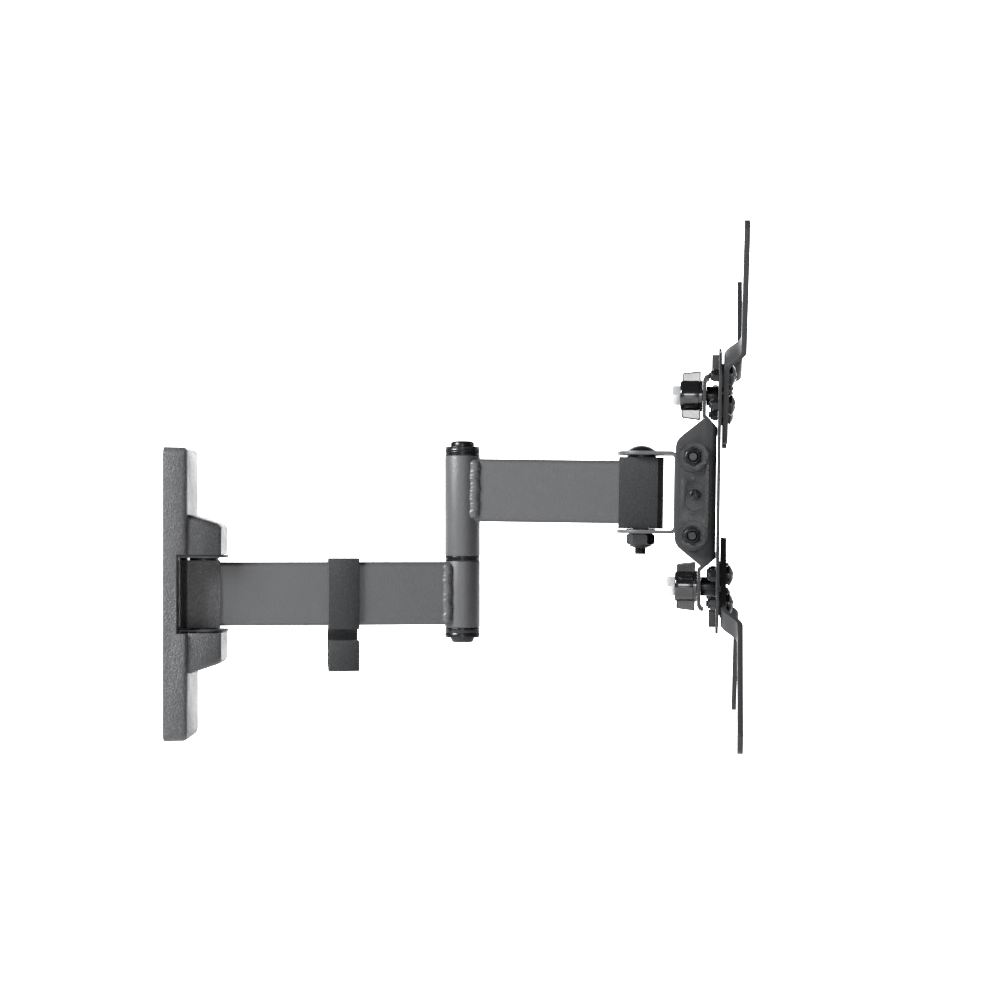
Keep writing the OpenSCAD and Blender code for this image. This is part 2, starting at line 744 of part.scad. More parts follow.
module knob_upper_grip() color(moulded) at_knob(1) grip();

module knob_upper_bolt() color(zinc) at_knob(1) knob_bolt();

module knob_lower_grip() color(moulded) translate([-lower_foot_out, 0, 0]) at_knob(-1) grip();

module knob_lower_bolt() color(zinc) translate([-lower_foot_out, 0, 0]) at_knob(-1) knob_bolt();

// ---------- the assembly ----------

wall_plate();
pivot_bracket();
wall_cover();
pivot_cover_upper();
pivot_cover_lower();
wall_pivot_bolt();
wall_pivot_nut();
wall_pivot_washers();
lower_arm_tube();
lower_arm_bush();
lower_arm_sleeve();
elbow_lower_tube();
elbow_lower_bushes();
elbow_pin();
elbow_pin_cap();
elbow_bottom_ring();
cable_clip();
upper_arm_tube();
upper_arm_bush();
upper_arm_sleeve();
elbow_upper_tube();
elbow_upper_bushes();
elbow_thrust_washer();
at_head() yoke();
at_head() yoke_bolt();
at_head() yoke_nut();
at_head() yoke_washers();
at_head() tilt_bracket();
at_head() friction_plate_near();
at_head() friction_plate_far();
at_head() tilt_bolts();
at_head() tilt_nuts();
at_head() tilt_washers();
at_head() tilt_axis_screws();
at_head() tilt_axis_nuts();
at_vesa() vesa_plate();
at_vesa() plate_lips();
at_vesa() vesa_arm_upper_near();
at_vesa() vesa_arm_upper_far();
at_vesa() vesa_arm_lower_near();
at_vesa() vesa_arm_lower_far();
at_vesa() arm_screws();
at_vesa() arm_washers();
at_vesa() arm_nuts();
at_vesa() knob_spacers();
at_vesa() knob_upper_grip();
at_vesa() knob_upper_bolt();
at_vesa() knob_lower_grip();
at_vesa() knob_lower_bolt();
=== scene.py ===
"""Full motion wall mount for a flat television: its finishes, its finished meshes and a plain studio.

Every length in this file is in millimetres unless its name ends in _m. Each sub-assembly is a class whose
fields are its sizes; it builds its meshes in the local axes of the joint that it hangs from, and the place
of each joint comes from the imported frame.
"""

import json
import logging
import math
from dataclasses import dataclass, field
from enum import Enum
from typing import Optional, Sequence, Union

import bmesh
import bpy
import numpy as np
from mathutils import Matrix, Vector

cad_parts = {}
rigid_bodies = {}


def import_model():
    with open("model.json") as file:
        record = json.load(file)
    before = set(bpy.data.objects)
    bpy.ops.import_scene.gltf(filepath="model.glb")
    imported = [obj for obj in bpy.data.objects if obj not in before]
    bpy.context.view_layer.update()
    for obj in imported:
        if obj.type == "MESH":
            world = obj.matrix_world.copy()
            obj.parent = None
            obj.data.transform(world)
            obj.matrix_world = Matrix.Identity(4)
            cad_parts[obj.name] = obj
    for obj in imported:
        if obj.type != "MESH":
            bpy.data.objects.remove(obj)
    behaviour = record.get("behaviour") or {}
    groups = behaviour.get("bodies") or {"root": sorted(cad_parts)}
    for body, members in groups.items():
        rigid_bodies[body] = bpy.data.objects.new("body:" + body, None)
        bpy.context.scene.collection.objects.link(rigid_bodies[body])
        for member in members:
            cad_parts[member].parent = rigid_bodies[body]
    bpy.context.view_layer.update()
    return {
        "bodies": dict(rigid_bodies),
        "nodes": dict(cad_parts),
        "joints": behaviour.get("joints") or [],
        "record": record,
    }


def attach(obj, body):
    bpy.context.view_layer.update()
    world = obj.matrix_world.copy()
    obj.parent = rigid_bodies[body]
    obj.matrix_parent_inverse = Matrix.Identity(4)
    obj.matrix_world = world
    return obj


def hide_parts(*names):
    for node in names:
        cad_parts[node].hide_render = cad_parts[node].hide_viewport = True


LOG = logging.getLogger("wall_mount")
MM = 0.001
TAU = 2.0 * math.pi

# sizes along and up the television plate that more than one sub-assembly uses
PLATE_X = 67.25
FLANGE_X = 53.6
KNOB_Z = 84.7
KNOB_RISE = 0.4
LOWER_FOOT_OUT = 2.6

Number = Union[float, bpy.types.NodeSocket]


# --------------------------------------------------------------------------------------------
# Places and axes
# --------------------------------------------------------------------------------------------


@dataclass(frozen=True)
class Place:
    """A local set of axes: an origin in millimetres and three unit vectors as the rows of axes."""

    origin: np.ndarray
    axes: np.ndarray

    def out(self, points: np.ndarray) -> np.ndarray:
        """Turn local points into the model's metres.

        Args:
            points: local points, one row each, in millimetres.

        Returns:
            The same points in the model's frame, in metres.
        """
        return (self.origin + points @ self.axes) * MM

    def moved(self, x: float = 0.0, y: float = 0.0, z: float = 0.0) -> "Place":
        """Return the same axes with the origin moved by local x, y and z."""
        return Place(self.origin + np.array([x, y, z]) @ self.axes, self.axes)

    def spun(self, degrees: float) -> "Place":
        """Turn the axes about their own x.

        Args:
            degrees: the angle.

        Returns:
            The turned place.
        """
        c, s = math.cos(math.radians(degrees)), math.sin(math.radians(degrees))
        turn = np.array([[1.0, 0.0, 0.0], [0.0, c, s], [0.0, -s, c]])
        return Place(self.origin, turn @ self.axes)

    def mirrored(self) -> "Place":
        """Return the axes mirrored along z; a mesh made in them is turned outwards when it is built."""
        return Place(self.origin, np.diag([1.0, 1.0, -1.0]) @ self.axes)

    def upright(self, direction: str) -> "Place":
        """Return axes whose local z is this place's x, y or -y, for turned parts on that axis.

        Args:
            direction: "x", "y" or "-y".

        Returns:
            The turned place.
        """
        x, y, z = self.axes
        rows = {"x": (y, z, x), "y": (z, x, y), "-y": (x, z, -y)}[direction]
        return Place(self.origin, np.array(rows))


def unit(vector: np.ndarray) -> np.ndarray:
    """Return the vector at length one."""
    return vector / np.linalg.norm(vector)


@dataclass
class Skeleton:
    """The mount's joint places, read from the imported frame."""

    frame: dict
    wall: Place = field(init=False)
    lower: Place = field(init=False)
    elbow: Place = field(init=False)
    upper: Place = field(init=False)
    head: Place = field(init=False)
    plate: Place = field(init=False)
    arm_rise: float = 92.1
    plate_rise: float = 1.5

    def __post_init__(self) -> None:
        """Work out each place from the joints' points and axes."""
        joints = {j["name"]: j for j in self.frame["joints"]}

        def point(name: str) -> np.ndarray:
            """Return a joint's point in millimetres."""
            return np.array(joints[name]["pos_m"], float) / MM

        def axis(name: str) -> np.ndarray:
            """Return a joint's axis at length one."""
            return unit(np.array(joints[name]["axis"], float))

        up = np.array([0.0, 0.0, 1.0])
        along = axis("clip_slide")
        lean = axis("head_swivel")
        shoulder = point("elbow_swivel") + self.arm_rise * up
        reach = unit(point("head_swivel") - shoulder)
        out = unit(reach - up * (reach @ up))
        forward, across = axis("level_roll"), axis("screen_tilt")
        self.wall = Place(np.zeros(3), np.eye(3))
        self.lower = Place(point("wall_swivel"), np.array([along, np.cross(up, along), up]))
        self.elbow = Place(point("elbow_swivel"), np.array([out, np.cross(up, out), up]))
        self.upper = Place(shoulder, np.array([reach, np.cross(lean, reach), lean]))
        self.head = Place(point("head_swivel"), np.array([forward, across, np.cross(forward, across)]))
        self.plate = self.head.moved(z=self.plate_rise)


# --------------------------------------------------------------------------------------------
# Meshes
# --------------------------------------------------------------------------------------------


@dataclass
class Sheet:
    """Loose mesh data in local millimetres: points as rows and faces as lists of point numbers."""

    points: np.ndarray
    faces: list

    def joined(self, *others: "Sheet") -> "Sheet":
        """Put this sheet and others side by side in one.

        Args:
            others: the sheets to add.

        Returns:
            One sheet that holds them all.
        """
        points, faces = [self.points], list(self.faces)
        count = len(self.points)
        for other in others:
            points.append(other.points)
            faces += [[i + count for i in face] for face in other.faces]
            count += len(other.points)
        return Sheet(np.vstack(points), faces)

    def shifted(self, x: float = 0.0, y: float = 0.0, z: float = 0.0) -> "Sheet":
        """Return the sheet moved by x, y and z."""
        return Sheet(self.points + np.array([x, y, z]), self.faces)

    def spun(self, degrees: float) -> "Sheet":
        """Return the sheet turned about z by an angle in degrees."""
        c, s = math.cos(math.radians(degrees)), math.sin(math.radians(degrees))
        return Sheet(self.points @ np.array([[c, s, 0.0], [-s, c, 0.0], [0.0, 0.0, 1.0]]), self.faces)


def stack(loops: np.ndarray, closed_ends: bool = True, ring_closed: bool = False) -> Sheet:
    """Join loops of equal point counts into a skin.

    Point k of loop i is loops[i, k]; each quad joins neighbours k and k + 1 of loops i and i + 1, and the
    last point of a loop joins its first.

    Args:
        loops: an array of shape (loops, points, 3).
        closed_ends: whether the first and last loops are filled.
        ring_closed: whether the last loop joins the first, as on a ring.

    Returns:
        The skin.
    """
    count, size = loops.shape[:2]
    rows = np.arange(count if ring_closed else count - 1)[:, None]
    cols = np.arange(size)[None, :]
    here, there = rows * size, ((rows + 1) % count) * size
    after = (cols + 1) % size
    quads = np.stack([here + cols, here + after, there + after, there + cols], axis=-1)
    faces = quads.reshape(-1, 4).tolist()
    if closed_ends and not ring_closed:
        faces.append(list(range(size))[::-1])
        faces.append(list(range((count - 1) * size, count * size)))
    return Sheet(loops.reshape(-1, 3), faces)


def lathe(profile: Sequence[tuple[float, float]], steps: int = 96) -> Sheet:
    """Turn a profile about z.

    A point (r, z) of the profile becomes (r cos a, r sin a, z) for evenly spaced angles a.

    Args:
        profile: (radius, height) pairs; a radius of 0 at either end closes the part on its axis.
        steps: how many points go round.

    Returns:
        The turned skin, open at the ends that don't reach the axis.
    """
    rz = np.array(profile, float)
    a = np.linspace(0.0, TAU, steps, endpoint=False)
    r, z = rz[:, :1], rz[:, 1:]
    loops = np.stack([r * np.cos(a), r * np.sin(a), np.broadcast_to(z, (len(rz), steps))], axis=-1)
    ring = bool(np.allclose(rz[0], rz[-1]))
    return stack(loops[:-1] if ring else loops, closed_ends=False, ring_closed=ring)


def quarter(r: float, z: float, size: float, start: float, steps: int = 5) -> list[tuple[float, float]]:
    """Return a quarter circle of a profile round (r, z), from start degrees on, 90 degrees left."""
    a = np.radians(np.linspace(start, start + 90.0, steps))
    return [(r + size * math.cos(t), z + size * math.sin(t)) for t in a]


def tube_profile(
    bore: float, radius: float, z0: float, z1: float, edge: float = 0.6
) -> list[tuple[float, float]]:
    """Go once round the profile of a tube with rounded rims.

    Args:
        bore: the hole's radius.
        radius: the outer radius.
        z0: the lower end.
        z1: the upper end.
        edge: the rims' rounding.

    Returns:
        A closed profile for lathe.
    """
    points = quarter(radius - edge, z0 + edge, edge, -90.0)
    points += quarter(radius - edge, z1 - edge, edge, 0.0)
    points += quarter(bore + edge, z1 - edge, edge, 90.0)
    points += quarter(bore + edge, z0 + edge, edge, 180.0)
    return points + points[:1]


def disc_profile(
    radius: float, z0: float, z1: float, low: float = 0.6, high: float = 0.6
) -> list[tuple[float, float]]:
    """Return the profile of a solid disc from axis to axis, with rounded rims at both ends."""
    points = [(0.0, z0)] + quarter(radius - low, z0 + low, low, -90.0)
    return points + quarter(radius - high, z1 - high, high, 0.0) + [(0.0, z1)]


def inset_loop(loop: np.ndarray, amount: float) -> np.ndarray:
    """Move each point of an anticlockwise loop inwards along the mean of its two sides' normals.

    Args:
        loop: rows of (x, y).
        amount: how far each side moves.

    Returns:
        The smaller loop.
    """
    before, after = np.roll(loop, 1, axis=0), np.roll(loop, -1, axis=0)
    one, two = loop - before, after - loop
    one /= np.maximum(np.linalg.norm(one, axis=1, keepdims=True), 1e-9)
    two /= np.maximum(np.linalg.norm(two, axis=1, keepdims=True), 1e-9)
    mean = one + two
    mean /= np.maximum(np.linalg.norm(mean, axis=1, keepdims=True), 1e-9)
    stretch = np.maximum(np.sum(mean * one, axis=1, keepdims=True), 0.35)
    return loop + amount * np.stack([-mean[:, 1], mean[:, 0]], axis=-1) / stretch


def pressed(loop: np.ndarray, low: float, high: float, edge: float, steps: int = 5) -> Sheet:
    """Thicken an outline along z with rounded edges.

    The loop at height z is the outline moved inwards by e (1 - sin t) where z is e (1 - cos t) from an end;
    one more loop on each end face keeps that face flat.

    Args:
        loop: the outline, anticlockwise rows of (x, y).
        low: the lower end's z.
        high: the upper end's z.
        edge: the rounding of both edges.
        steps: the rounding's steps.

    Returns:
        A closed skin.
    """
    t = np.radians(np.linspace(90.0, 0.0, steps))
    levels = [(edge * (1 - math.sin(a)), low + edge * (1 - math.cos(a))) for a in t[::-1]]
    levels += [(edge * (1 - math.sin(a)), high - edge * (1 - math.cos(a))) for a in t]
    rim = edge + 0.35
    levels = [(rim, low)] + levels + [(rim, high)]
    loops = []
    for amount, z in levels:
        flat = inset_loop(loop, amount)
        loops.append(np.column_stack([flat, np.full(len(flat), z)]))
    return stack(np.array(loops))


def hex_radius(angles: np.ndarray, across: float) -> np.ndarray:
    """Return a hexagon's radius at each angle: half its width over cos of the angle from the flat."""
    return across / 2.0 / np.cos((angles + math.pi / 6) % (math.pi / 3) - math.pi / 6)


def hexagon_skin(across: float, z0: float, z1: float, bore: float = 0.0, high: bool = True) -> Sheet:
    """Make a nut or a bolt head whose corners are turned off by a cone.

    On a chamfered end the height at radius r is the end's height less (r - c) tan 30 degrees, where c is
    0.95 of half the width across flats, so that each flat gets its arc.

    Args:
        across: width across flats.
        z0: the lower end.
        z1: the upper end.
        bore: the hole's radius, or 0 for a solid head.
        high: whether the upper end is chamfered.

    Returns:
        A closed skin round z.
    """
    a = np.linspace(0.0, TAU, 96, endpoint=False)
    level = np.ones_like(a)
    full = hex_radius(a, across)
    ring = 0.475 * across * level
    drop = (full - ring) * math.tan(math.radians(30.0))
    rows: list[tuple[np.ndarray, np.ndarray]] = []
    for end, sign, chamfered in ((z0, 1.0, True), (z1, -1.0, high)):
        face = (ring if chamfered else 0.99 * full, end * level)
        side = (full, end + sign * (drop if chamfered else 0.15 * level))
        rows += [face, side] if sign > 0 else [side, face]
    if bore > 0.0:
        edge = 0.5
        for r, z in ((bore + edge, z1), (bore, z1 - edge), (bore, z0 + edge), (bore + edge, z0)):
            rows.append((r * level, z * level))
    loops = np.array([np.stack([r * np.cos(a), r * np.sin(a), z], axis=-1) for r, z in rows])
    return stack(loops, closed_ends=bore <= 0.0, ring_closed=bore > 0.0)


def thread_skin(radius: float, z0: float, z1: float, pitch: float = 1.75, lead: float = 1.2) -> Sheet:
    """Make a threaded rod.

    The radius at angle a and height z is the outer radius less 0.6 of the pitch times a triangle wave of
    z / pitch - a / 360 degrees; both ends taper over the lead.

    Args:
        radius: the outer radius.
        z0: the lower end.
        z1: the upper end.
        pitch: the thread's pitch.
        lead: the length of each tapered end.

    Returns:
        A closed skin round z.
    """
    a = np.linspace(0.0, TAU, 48, endpoint=False)[None, :]
    z = np.linspace(z0, z1, max(8, int((z1 - z0) / pitch * 8)))[:, None]
    wave = np.abs(((z / pitch - a / TAU) % 1.0) * 2.0 - 1.0)
    r = radius - 0.6 * pitch * wave
    near_end = np.minimum(z - z0, z1 - z)
    r = np.minimum(r, radius - np.maximum(0.0, lead - near_end) * 0.9)
    return stack(np.stack([r * np.cos(a), r * np.sin(a), np.broadcast_to(z, r.shape)], axis=-1))


def cross_head(radius: float, z0: float, rim: float, crown: float, cross: float) -> Sheet:
    """Make a round screw head with a cross recess.

    The height at radius r is the rim plus the crown times (1 - (r / R) squared), less a recess where the
    distance to the nearer of two crossing bars is under half a bar's width.

    Args:
        radius: the head's radius R.
        z0: the height of its seat.
        rim: the rim's height over the seat.
        crown: the centre's height over the rim.
        cross: the recess's reach from the centre.

    Returns:
        A closed skin round z.
    """
    a = np.linspace(0.0, TAU, 96, endpoint=False)[None, :]
    share = np.linspace(1.0, 0.02, 34)[:, None]
    r = radius * share
    x, y = r * np.cos(a), r * np.sin(a)
    half = 0.16 * cross
    upright_bar = np.maximum(np.abs(x) / half, np.abs(y) / cross)
    level_bar = np.maximum(np.abs(y) / half, np.abs(x) / cross)
    sunk = np.clip((1.25 - np.minimum(upright_bar, level_bar)) / 0.5, 0.0, 1.0)
    z = z0 + rim + crown * (1.0 - share**2) - sunk * (0.35 * rim + 0.9 * crown) * (1.0 - 0.5 * r / radius)
    top = np.stack([x, y, z], axis=-1)
    side = [(0.02 * radius, z0), (radius - 0.3, z0), (radius, z0 + 0.3), (radius, z0 + rim * 0.75)]
    c, s = np.cos(a[0]), np.sin(a[0])
    base = np.array([np.stack([q * c, q * s, np.full_like(c, h)], axis=-1) for q, h in side])
    return stack(np.vstack([base, top]))


def weld_skin(
    x: float, y: float, z0: float, z1: float, wide: float, high: float, pitch: float = 4.3
) -> Sheet:
    """Make a weld bead along z.

    Its section is an oval. At height z and angle a the oval is scaled by a rounded end factor times
    1 + 0.018 sin(360 z / pitch + 2.2 sin a + a slow drift) + 0.022 sin(360 z / 11.7), and its centre wanders.

    Args:
        x: the bead's centre.
        y: the bead's centre.
        z0: its lower end.
        z1: its upper end.
        wide: the oval's half width along x.
        high: the oval's half width along y.
        pitch: the distance from ripple to ripple.

    Returns:
        A closed skin.
    """
    a = np.linspace(0.0, TAU, 40, endpoint=False)[None, :]
    t = np.linspace(0.002, 0.998, 260)[:, None]
    z = z0 + (z1 - z0) * t
    reach = np.minimum(z - z0, z1 - z) / (0.9 * wide)
    ends = np.sqrt(1.0 - (1.0 - np.clip(reach, 0.0, 1.0)) ** 2)
    drift = 0.9 * np.sin(TAU * z / 13.0) + 0.5 * np.sin(TAU * z / 5.9 + 1.0)
    ripple = 1.0 + 0.018 * np.sin(TAU * z / pitch + 2.2 * np.sin(a) + drift)
    r = ends * (ripple + 0.022 * np.sin(TAU * z / 11.7 + 1.0))
    wander = 0.35 * np.sin(TAU * z / 17.0 + 0.6) + 0.15 * np.sin(TAU * z / 6.1)
    across = x + wander + wide * r * np.cos(a)
    return stack(np.stack([across, y + high * r * np.sin(a), np.broadcast_to(z, r.shape)], axis=-1))


def add_object(name: str, sheet: Sheet, place: Place) -> bpy.types.Object:
    """Make a mesh object from a sheet, with its place in its vertices.

    Doubles are merged, normals are turned outwards and each face is shaded smooth up to 35 degrees.

    Args:
        name: the piece's name.
        sheet: the skin in local millimetres.
        place: the local axes it was made in.

    Returns:
        The new object, linked to the scene.
    """
    mesh = bpy.data.meshes.new(name)
    mesh.from_pydata(place.out(sheet.points).tolist(), [], sheet.faces)
    work = bmesh.new()
    work.from_mesh(mesh)
    bmesh.ops.remove_doubles(work, verts=work.verts, dist=1e-6)
    bmesh.ops.dissolve_degenerate(work, edges=work.edges, dist=1e-6)
    bmesh.ops.recalc_face_normals(work, faces=work.faces)
    work.to_mesh(mesh)
    work.free()
    piece = bpy.data.objects.new(name, mesh)
    bpy.context.scene.collection.objects.link(piece)
    mesh.polygons.foreach_set("use_smooth", np.ones(len(mesh.polygons), bool))
    mesh.set_sharp_from_angle(angle=math.radians(35.0))
    return piece


# --------------------------------------------------------------------------------------------
# Materials
# --------------------------------------------------------------------------------------------


class Finish(Enum):
    """The mount's finishes; each value starts with the record's material slot."""

    POWDER = "powder_coat"
    # painted shade: a darker copy of the powder coat for the head's parts, which are farther from the key light
    POWDER_PAINTED_SHADE = "powder_coat.dark"
    TEXTURED = "textured_plastic"
    # painted shade: a darker copy of the textured plastic for the cable clip and the upper arm's sleeve
    TEXTURED_PAINTED_SHADE = "textured_plastic.dark"
    MOULDED = "moulded_plastic"
    KNOB = "knob_plastic"
    BLACK_STEEL = "black_steel"
    ZINC = "zinc_steel"

    @property
    def slot(self) -> str:
        """Return the record's material slot."""
        return self.value.partition(".")[0]


# the shared surface group's inputs and the fields of a recipe that feed them
SKIN_INPUTS = {
    "Fine Scale": "fine",
    "Coarse Scale": "coarse",
    "Coarse Share": "share",
    "Mottle": "mottle",
    "Smudge": "smudge",
}
DARKEST = 0.55  # the tone's share where the shade is least
GLINT_LIGHT = 2.6  # how many times lighter the painted highlights on the grain's tops are


def new_group(
    name: str, inputs: Sequence[str], outputs: Sequence[str]
) -> tuple[bpy.types.NodeTree, bpy.types.Node, bpy.types.Node]:
    """Make a shader node group whose sockets are all plain values.

    Args:
        name: the group's name.
        inputs: the inputs' names.
        outputs: the outputs' names.

    Returns:
        The group, its input node and its output node.
    """
    group = bpy.data.node_groups.new(name, "ShaderNodeTree")
    for way, labels in (("INPUT", inputs), ("OUTPUT", outputs)):
        for label in labels:
            group.interface.new_socket(name=label, in_out=way, socket_type="NodeSocketFloat")
    return group, group.nodes.new("NodeGroupInput"), group.nodes.new("NodeGroupOutput")


def feed(tree: bpy.types.NodeTree, socket: bpy.types.NodeSocket, value: Number) -> None:
    """Give a socket a plain number or link another socket to it.

    Args:
        tree: the node tree.
        socket: the input socket.
        value: the number or the socket.
    """
    if isinstance(value, (int, float)):
        socket.default_value = value
    else:
        tree.links.new(value, socket)


def noise_node(
    tree: bpy.types.NodeTree, scale: Number, detail: float, rough: float, coords: bpy.types.NodeSocket
) -> bpy.types.NodeSocket:
    """Add a noise texture.

    Args:
        tree: the node tree.
        scale: the noise's scale per metre.
        detail: how many finer layers it has.
        rough: how strong the finer layers are.
        coords: the coordinates that it reads.

    Returns:
        The noise's value socket.
    """
    node = tree.nodes.new("ShaderNodeTexNoise")
    node.inputs["Detail"].default_value = detail
    node.inputs["Roughness"].default_value = rough
    feed(tree, node.inputs["Scale"], scale)
    tree.links.new(coords, node.inputs["Vector"])
    return node.outputs["Fac"]


def ranged(
    tree: bpy.types.NodeTree,
    source: bpy.types.NodeSocket,
    low: float,
    high: float,
    to_low: float,
    to_high: float,
) -> bpy.types.NodeSocket:
    """Add a Map Range node that takes low..high to to_low..to_high.

    Args:
        tree: the node tree.
        source: the value to map.
        low: the value that gives to_low.
        high: the value that gives to_high.
        to_low: the result at low.
        to_high: the result at high.

    Returns:
        The result socket.
    """
    node = tree.nodes.new("ShaderNodeMapRange")
    ends = {"From Min": low, "From Max": high, "To Min": to_low, "To Max": to_high}
    for label, value in ends.items():
        node.inputs[label].default_value = value
    tree.links.new(source, node.inputs["Value"])
    return node.outputs["Result"]


def math_node(tree: bpy.types.NodeTree, operation: str, one: Number, two: Number) -> bpy.types.NodeSocket:
    """Add a Math node.

    Args:
        tree: the node tree.
        operation: the node's operation.
        one: its first value.
        two: its second value.

    Returns:
        The result socket.
    """
    node = tree.nodes.new("ShaderNodeMath")
    node.operation = operation
    for socket, value in zip(node.inputs, (one, two)):
        feed(tree, socket, value)
    return node.outputs["Value"]


def split_coords(tree: bpy.types.NodeTree, kind: str) -> bpy.types.Node:
    """Read one kind of texture coordinate and split it.

    Args:
        tree: the node tree.
        kind: the Texture Coordinate node's output.

    Returns:
        The node with outputs X, Y and Z.
    """
    split = tree.nodes.new("ShaderNodeSeparateXYZ")
    tree.links.new(tree.nodes.new("ShaderNodeTexCoord").outputs[kind], split.inputs["Vector"])
    return split


def white_to_the_eye(tree: bpy.types.NodeTree, value: bpy.types.NodeSocket) -> bpy.types.NodeSocket:
    """Return the greater of a value and 1 on rays from the camera, or the value on all other rays."""
    ray = tree.nodes.new("ShaderNodeLightPath")
    return math_node(tree, "MAXIMUM", value, ray.outputs["Is Camera Ray"])


def surface_group() -> bpy.types.NodeTree:
    """Build the shared surface effect: a fine skin, and slow changes of shade and gloss.

    The height is a fine noise plus a coarser one. The shade is one minus a slow noise times Mottle. The
    gloss change is a mid-scale noise times Smudge.

    Returns:
        The node group with outputs Height, Shade and Gloss.
    """
    group, given, result = new_group("surface_skin", tuple(SKIN_INPUTS), ("Height", "Shade", "Gloss"))
    coords = group.nodes.new("ShaderNodeTexCoord").outputs["Object"]
    fine = noise_node(group, given.outputs["Fine Scale"], 3.0, 0.6, coords)
    coarse = noise_node(group, given.outputs["Coarse Scale"], 2.0, 0.5, coords)
    slow = noise_node(group, 22.0, 4.0, 0.6, coords)
    middle = noise_node(group, 75.0, 5.0, 0.65, coords)
    coarse_part = math_node(group, "MULTIPLY", coarse, given.outputs["Coarse Share"])
    slow_part = ranged(group, slow, 0.3, 0.7, 0.0, 1.0)
    shaded = math_node(group, "MULTIPLY", slow_part, given.outputs["Mottle"])
    middle_part = ranged(group, middle, 0.35, 0.7, -0.5, 0.5)
    values = {
        "Height": math_node(group, "ADD", fine, coarse_part),
        "Shade": math_node(group, "SUBTRACT", 1.0, shaded),
        "Gloss": math_node(group, "MULTIPLY", middle_part, given.outputs["Smudge"]),
    }
    for label, value in values.items():
        group.links.new(value, result.inputs[label])
    return group


@dataclass(frozen=True)
class Recipe:
    """What one finish is made of.

    tone is the linear colour and rough the roughness. fine and coarse are the grain's noise scales per
    metre, and share is the coarse noise's part. mottle and smudge say how much shade and gloss change.
    bump is the grain's height in metres, and glint_share is how far the tops of the grain are lightened:
    painted highlights that stand for glints of light on the grain.
    """

    tone: tuple[float, float, float]
    rough: float
    metal: float = 0.0
    fine: float = 2500.0
    coarse: float = 500.0
    share: float = 0.4
    mottle: float = 0.08
    smudge: float = 0.08
    bump: float = 0.00004
    strength: float = 0.5
    coat: float = 0.0
    coat_rough: float = 0.2
    specular: float = 0.5
    glint_share: float = 0.0


RECIPES = {
    Finish.POWDER: Recipe(
        (0.056, 0.057, 0.060), 0.42, fine=900.0, coarse=420.0, share=0.9, bump=0.00022, strength=0.8
    ),
    # painted shade: the powder coat made darker for parts farther from the key light
    Finish.POWDER_PAINTED_SHADE: Recipe(
        (0.024, 0.025, 0.027), 0.42, fine=900.0, coarse=420.0, share=0.9, bump=0.00018, strength=0.8,
        specular=0.3,
    ),
    Finish.TEXTURED: Recipe(
        (0.040, 0.041, 0.043), 0.42, fine=760.0, coarse=600.0, share=0.6, bump=0.00080, strength=1.0,
        glint_share=0.7,
    ),
    # painted shade: the textured plastic made darker for parts farther from the key light
    Finish.TEXTURED_PAINTED_SHADE: Recipe(
        (0.014, 0.015, 0.016), 0.50, fine=800.0, coarse=600.0, share=0.6, bump=0.00050, strength=0.9,
        glint_share=0.6, specular=0.3,
    ),
    Finish.MOULDED: Recipe(
        (0.013, 0.014, 0.015), 0.34, fine=900.0, coarse=220.0, share=1.0, bump=0.00010, strength=0.4,
        mottle=0.25, smudge=0.18, specular=0.4,
    ),
    Finish.KNOB: Recipe(
        (0.006, 0.006, 0.007), 0.17, fine=700.0, coarse=160.0, bump=0.00003, strength=0.10,
        mottle=0.05, smudge=0.08, coat=0.6, coat_rough=0.08,
    ),
    Finish.BLACK_STEEL: Recipe(
        (0.030, 0.031, 0.033), 0.27, metal=0.8, fine=900.0, coarse=260.0, bump=0.00002, strength=0.15,
        mottle=0.3, smudge=0.16,
    ),
    Finish.ZINC: Recipe(
        (0.74, 0.75, 0.77), 0.34, metal=0.6, fine=900.0, coarse=240.0, bump=0.00003, strength=0.2,
        mottle=0.12, smudge=0.12,
    ),
}


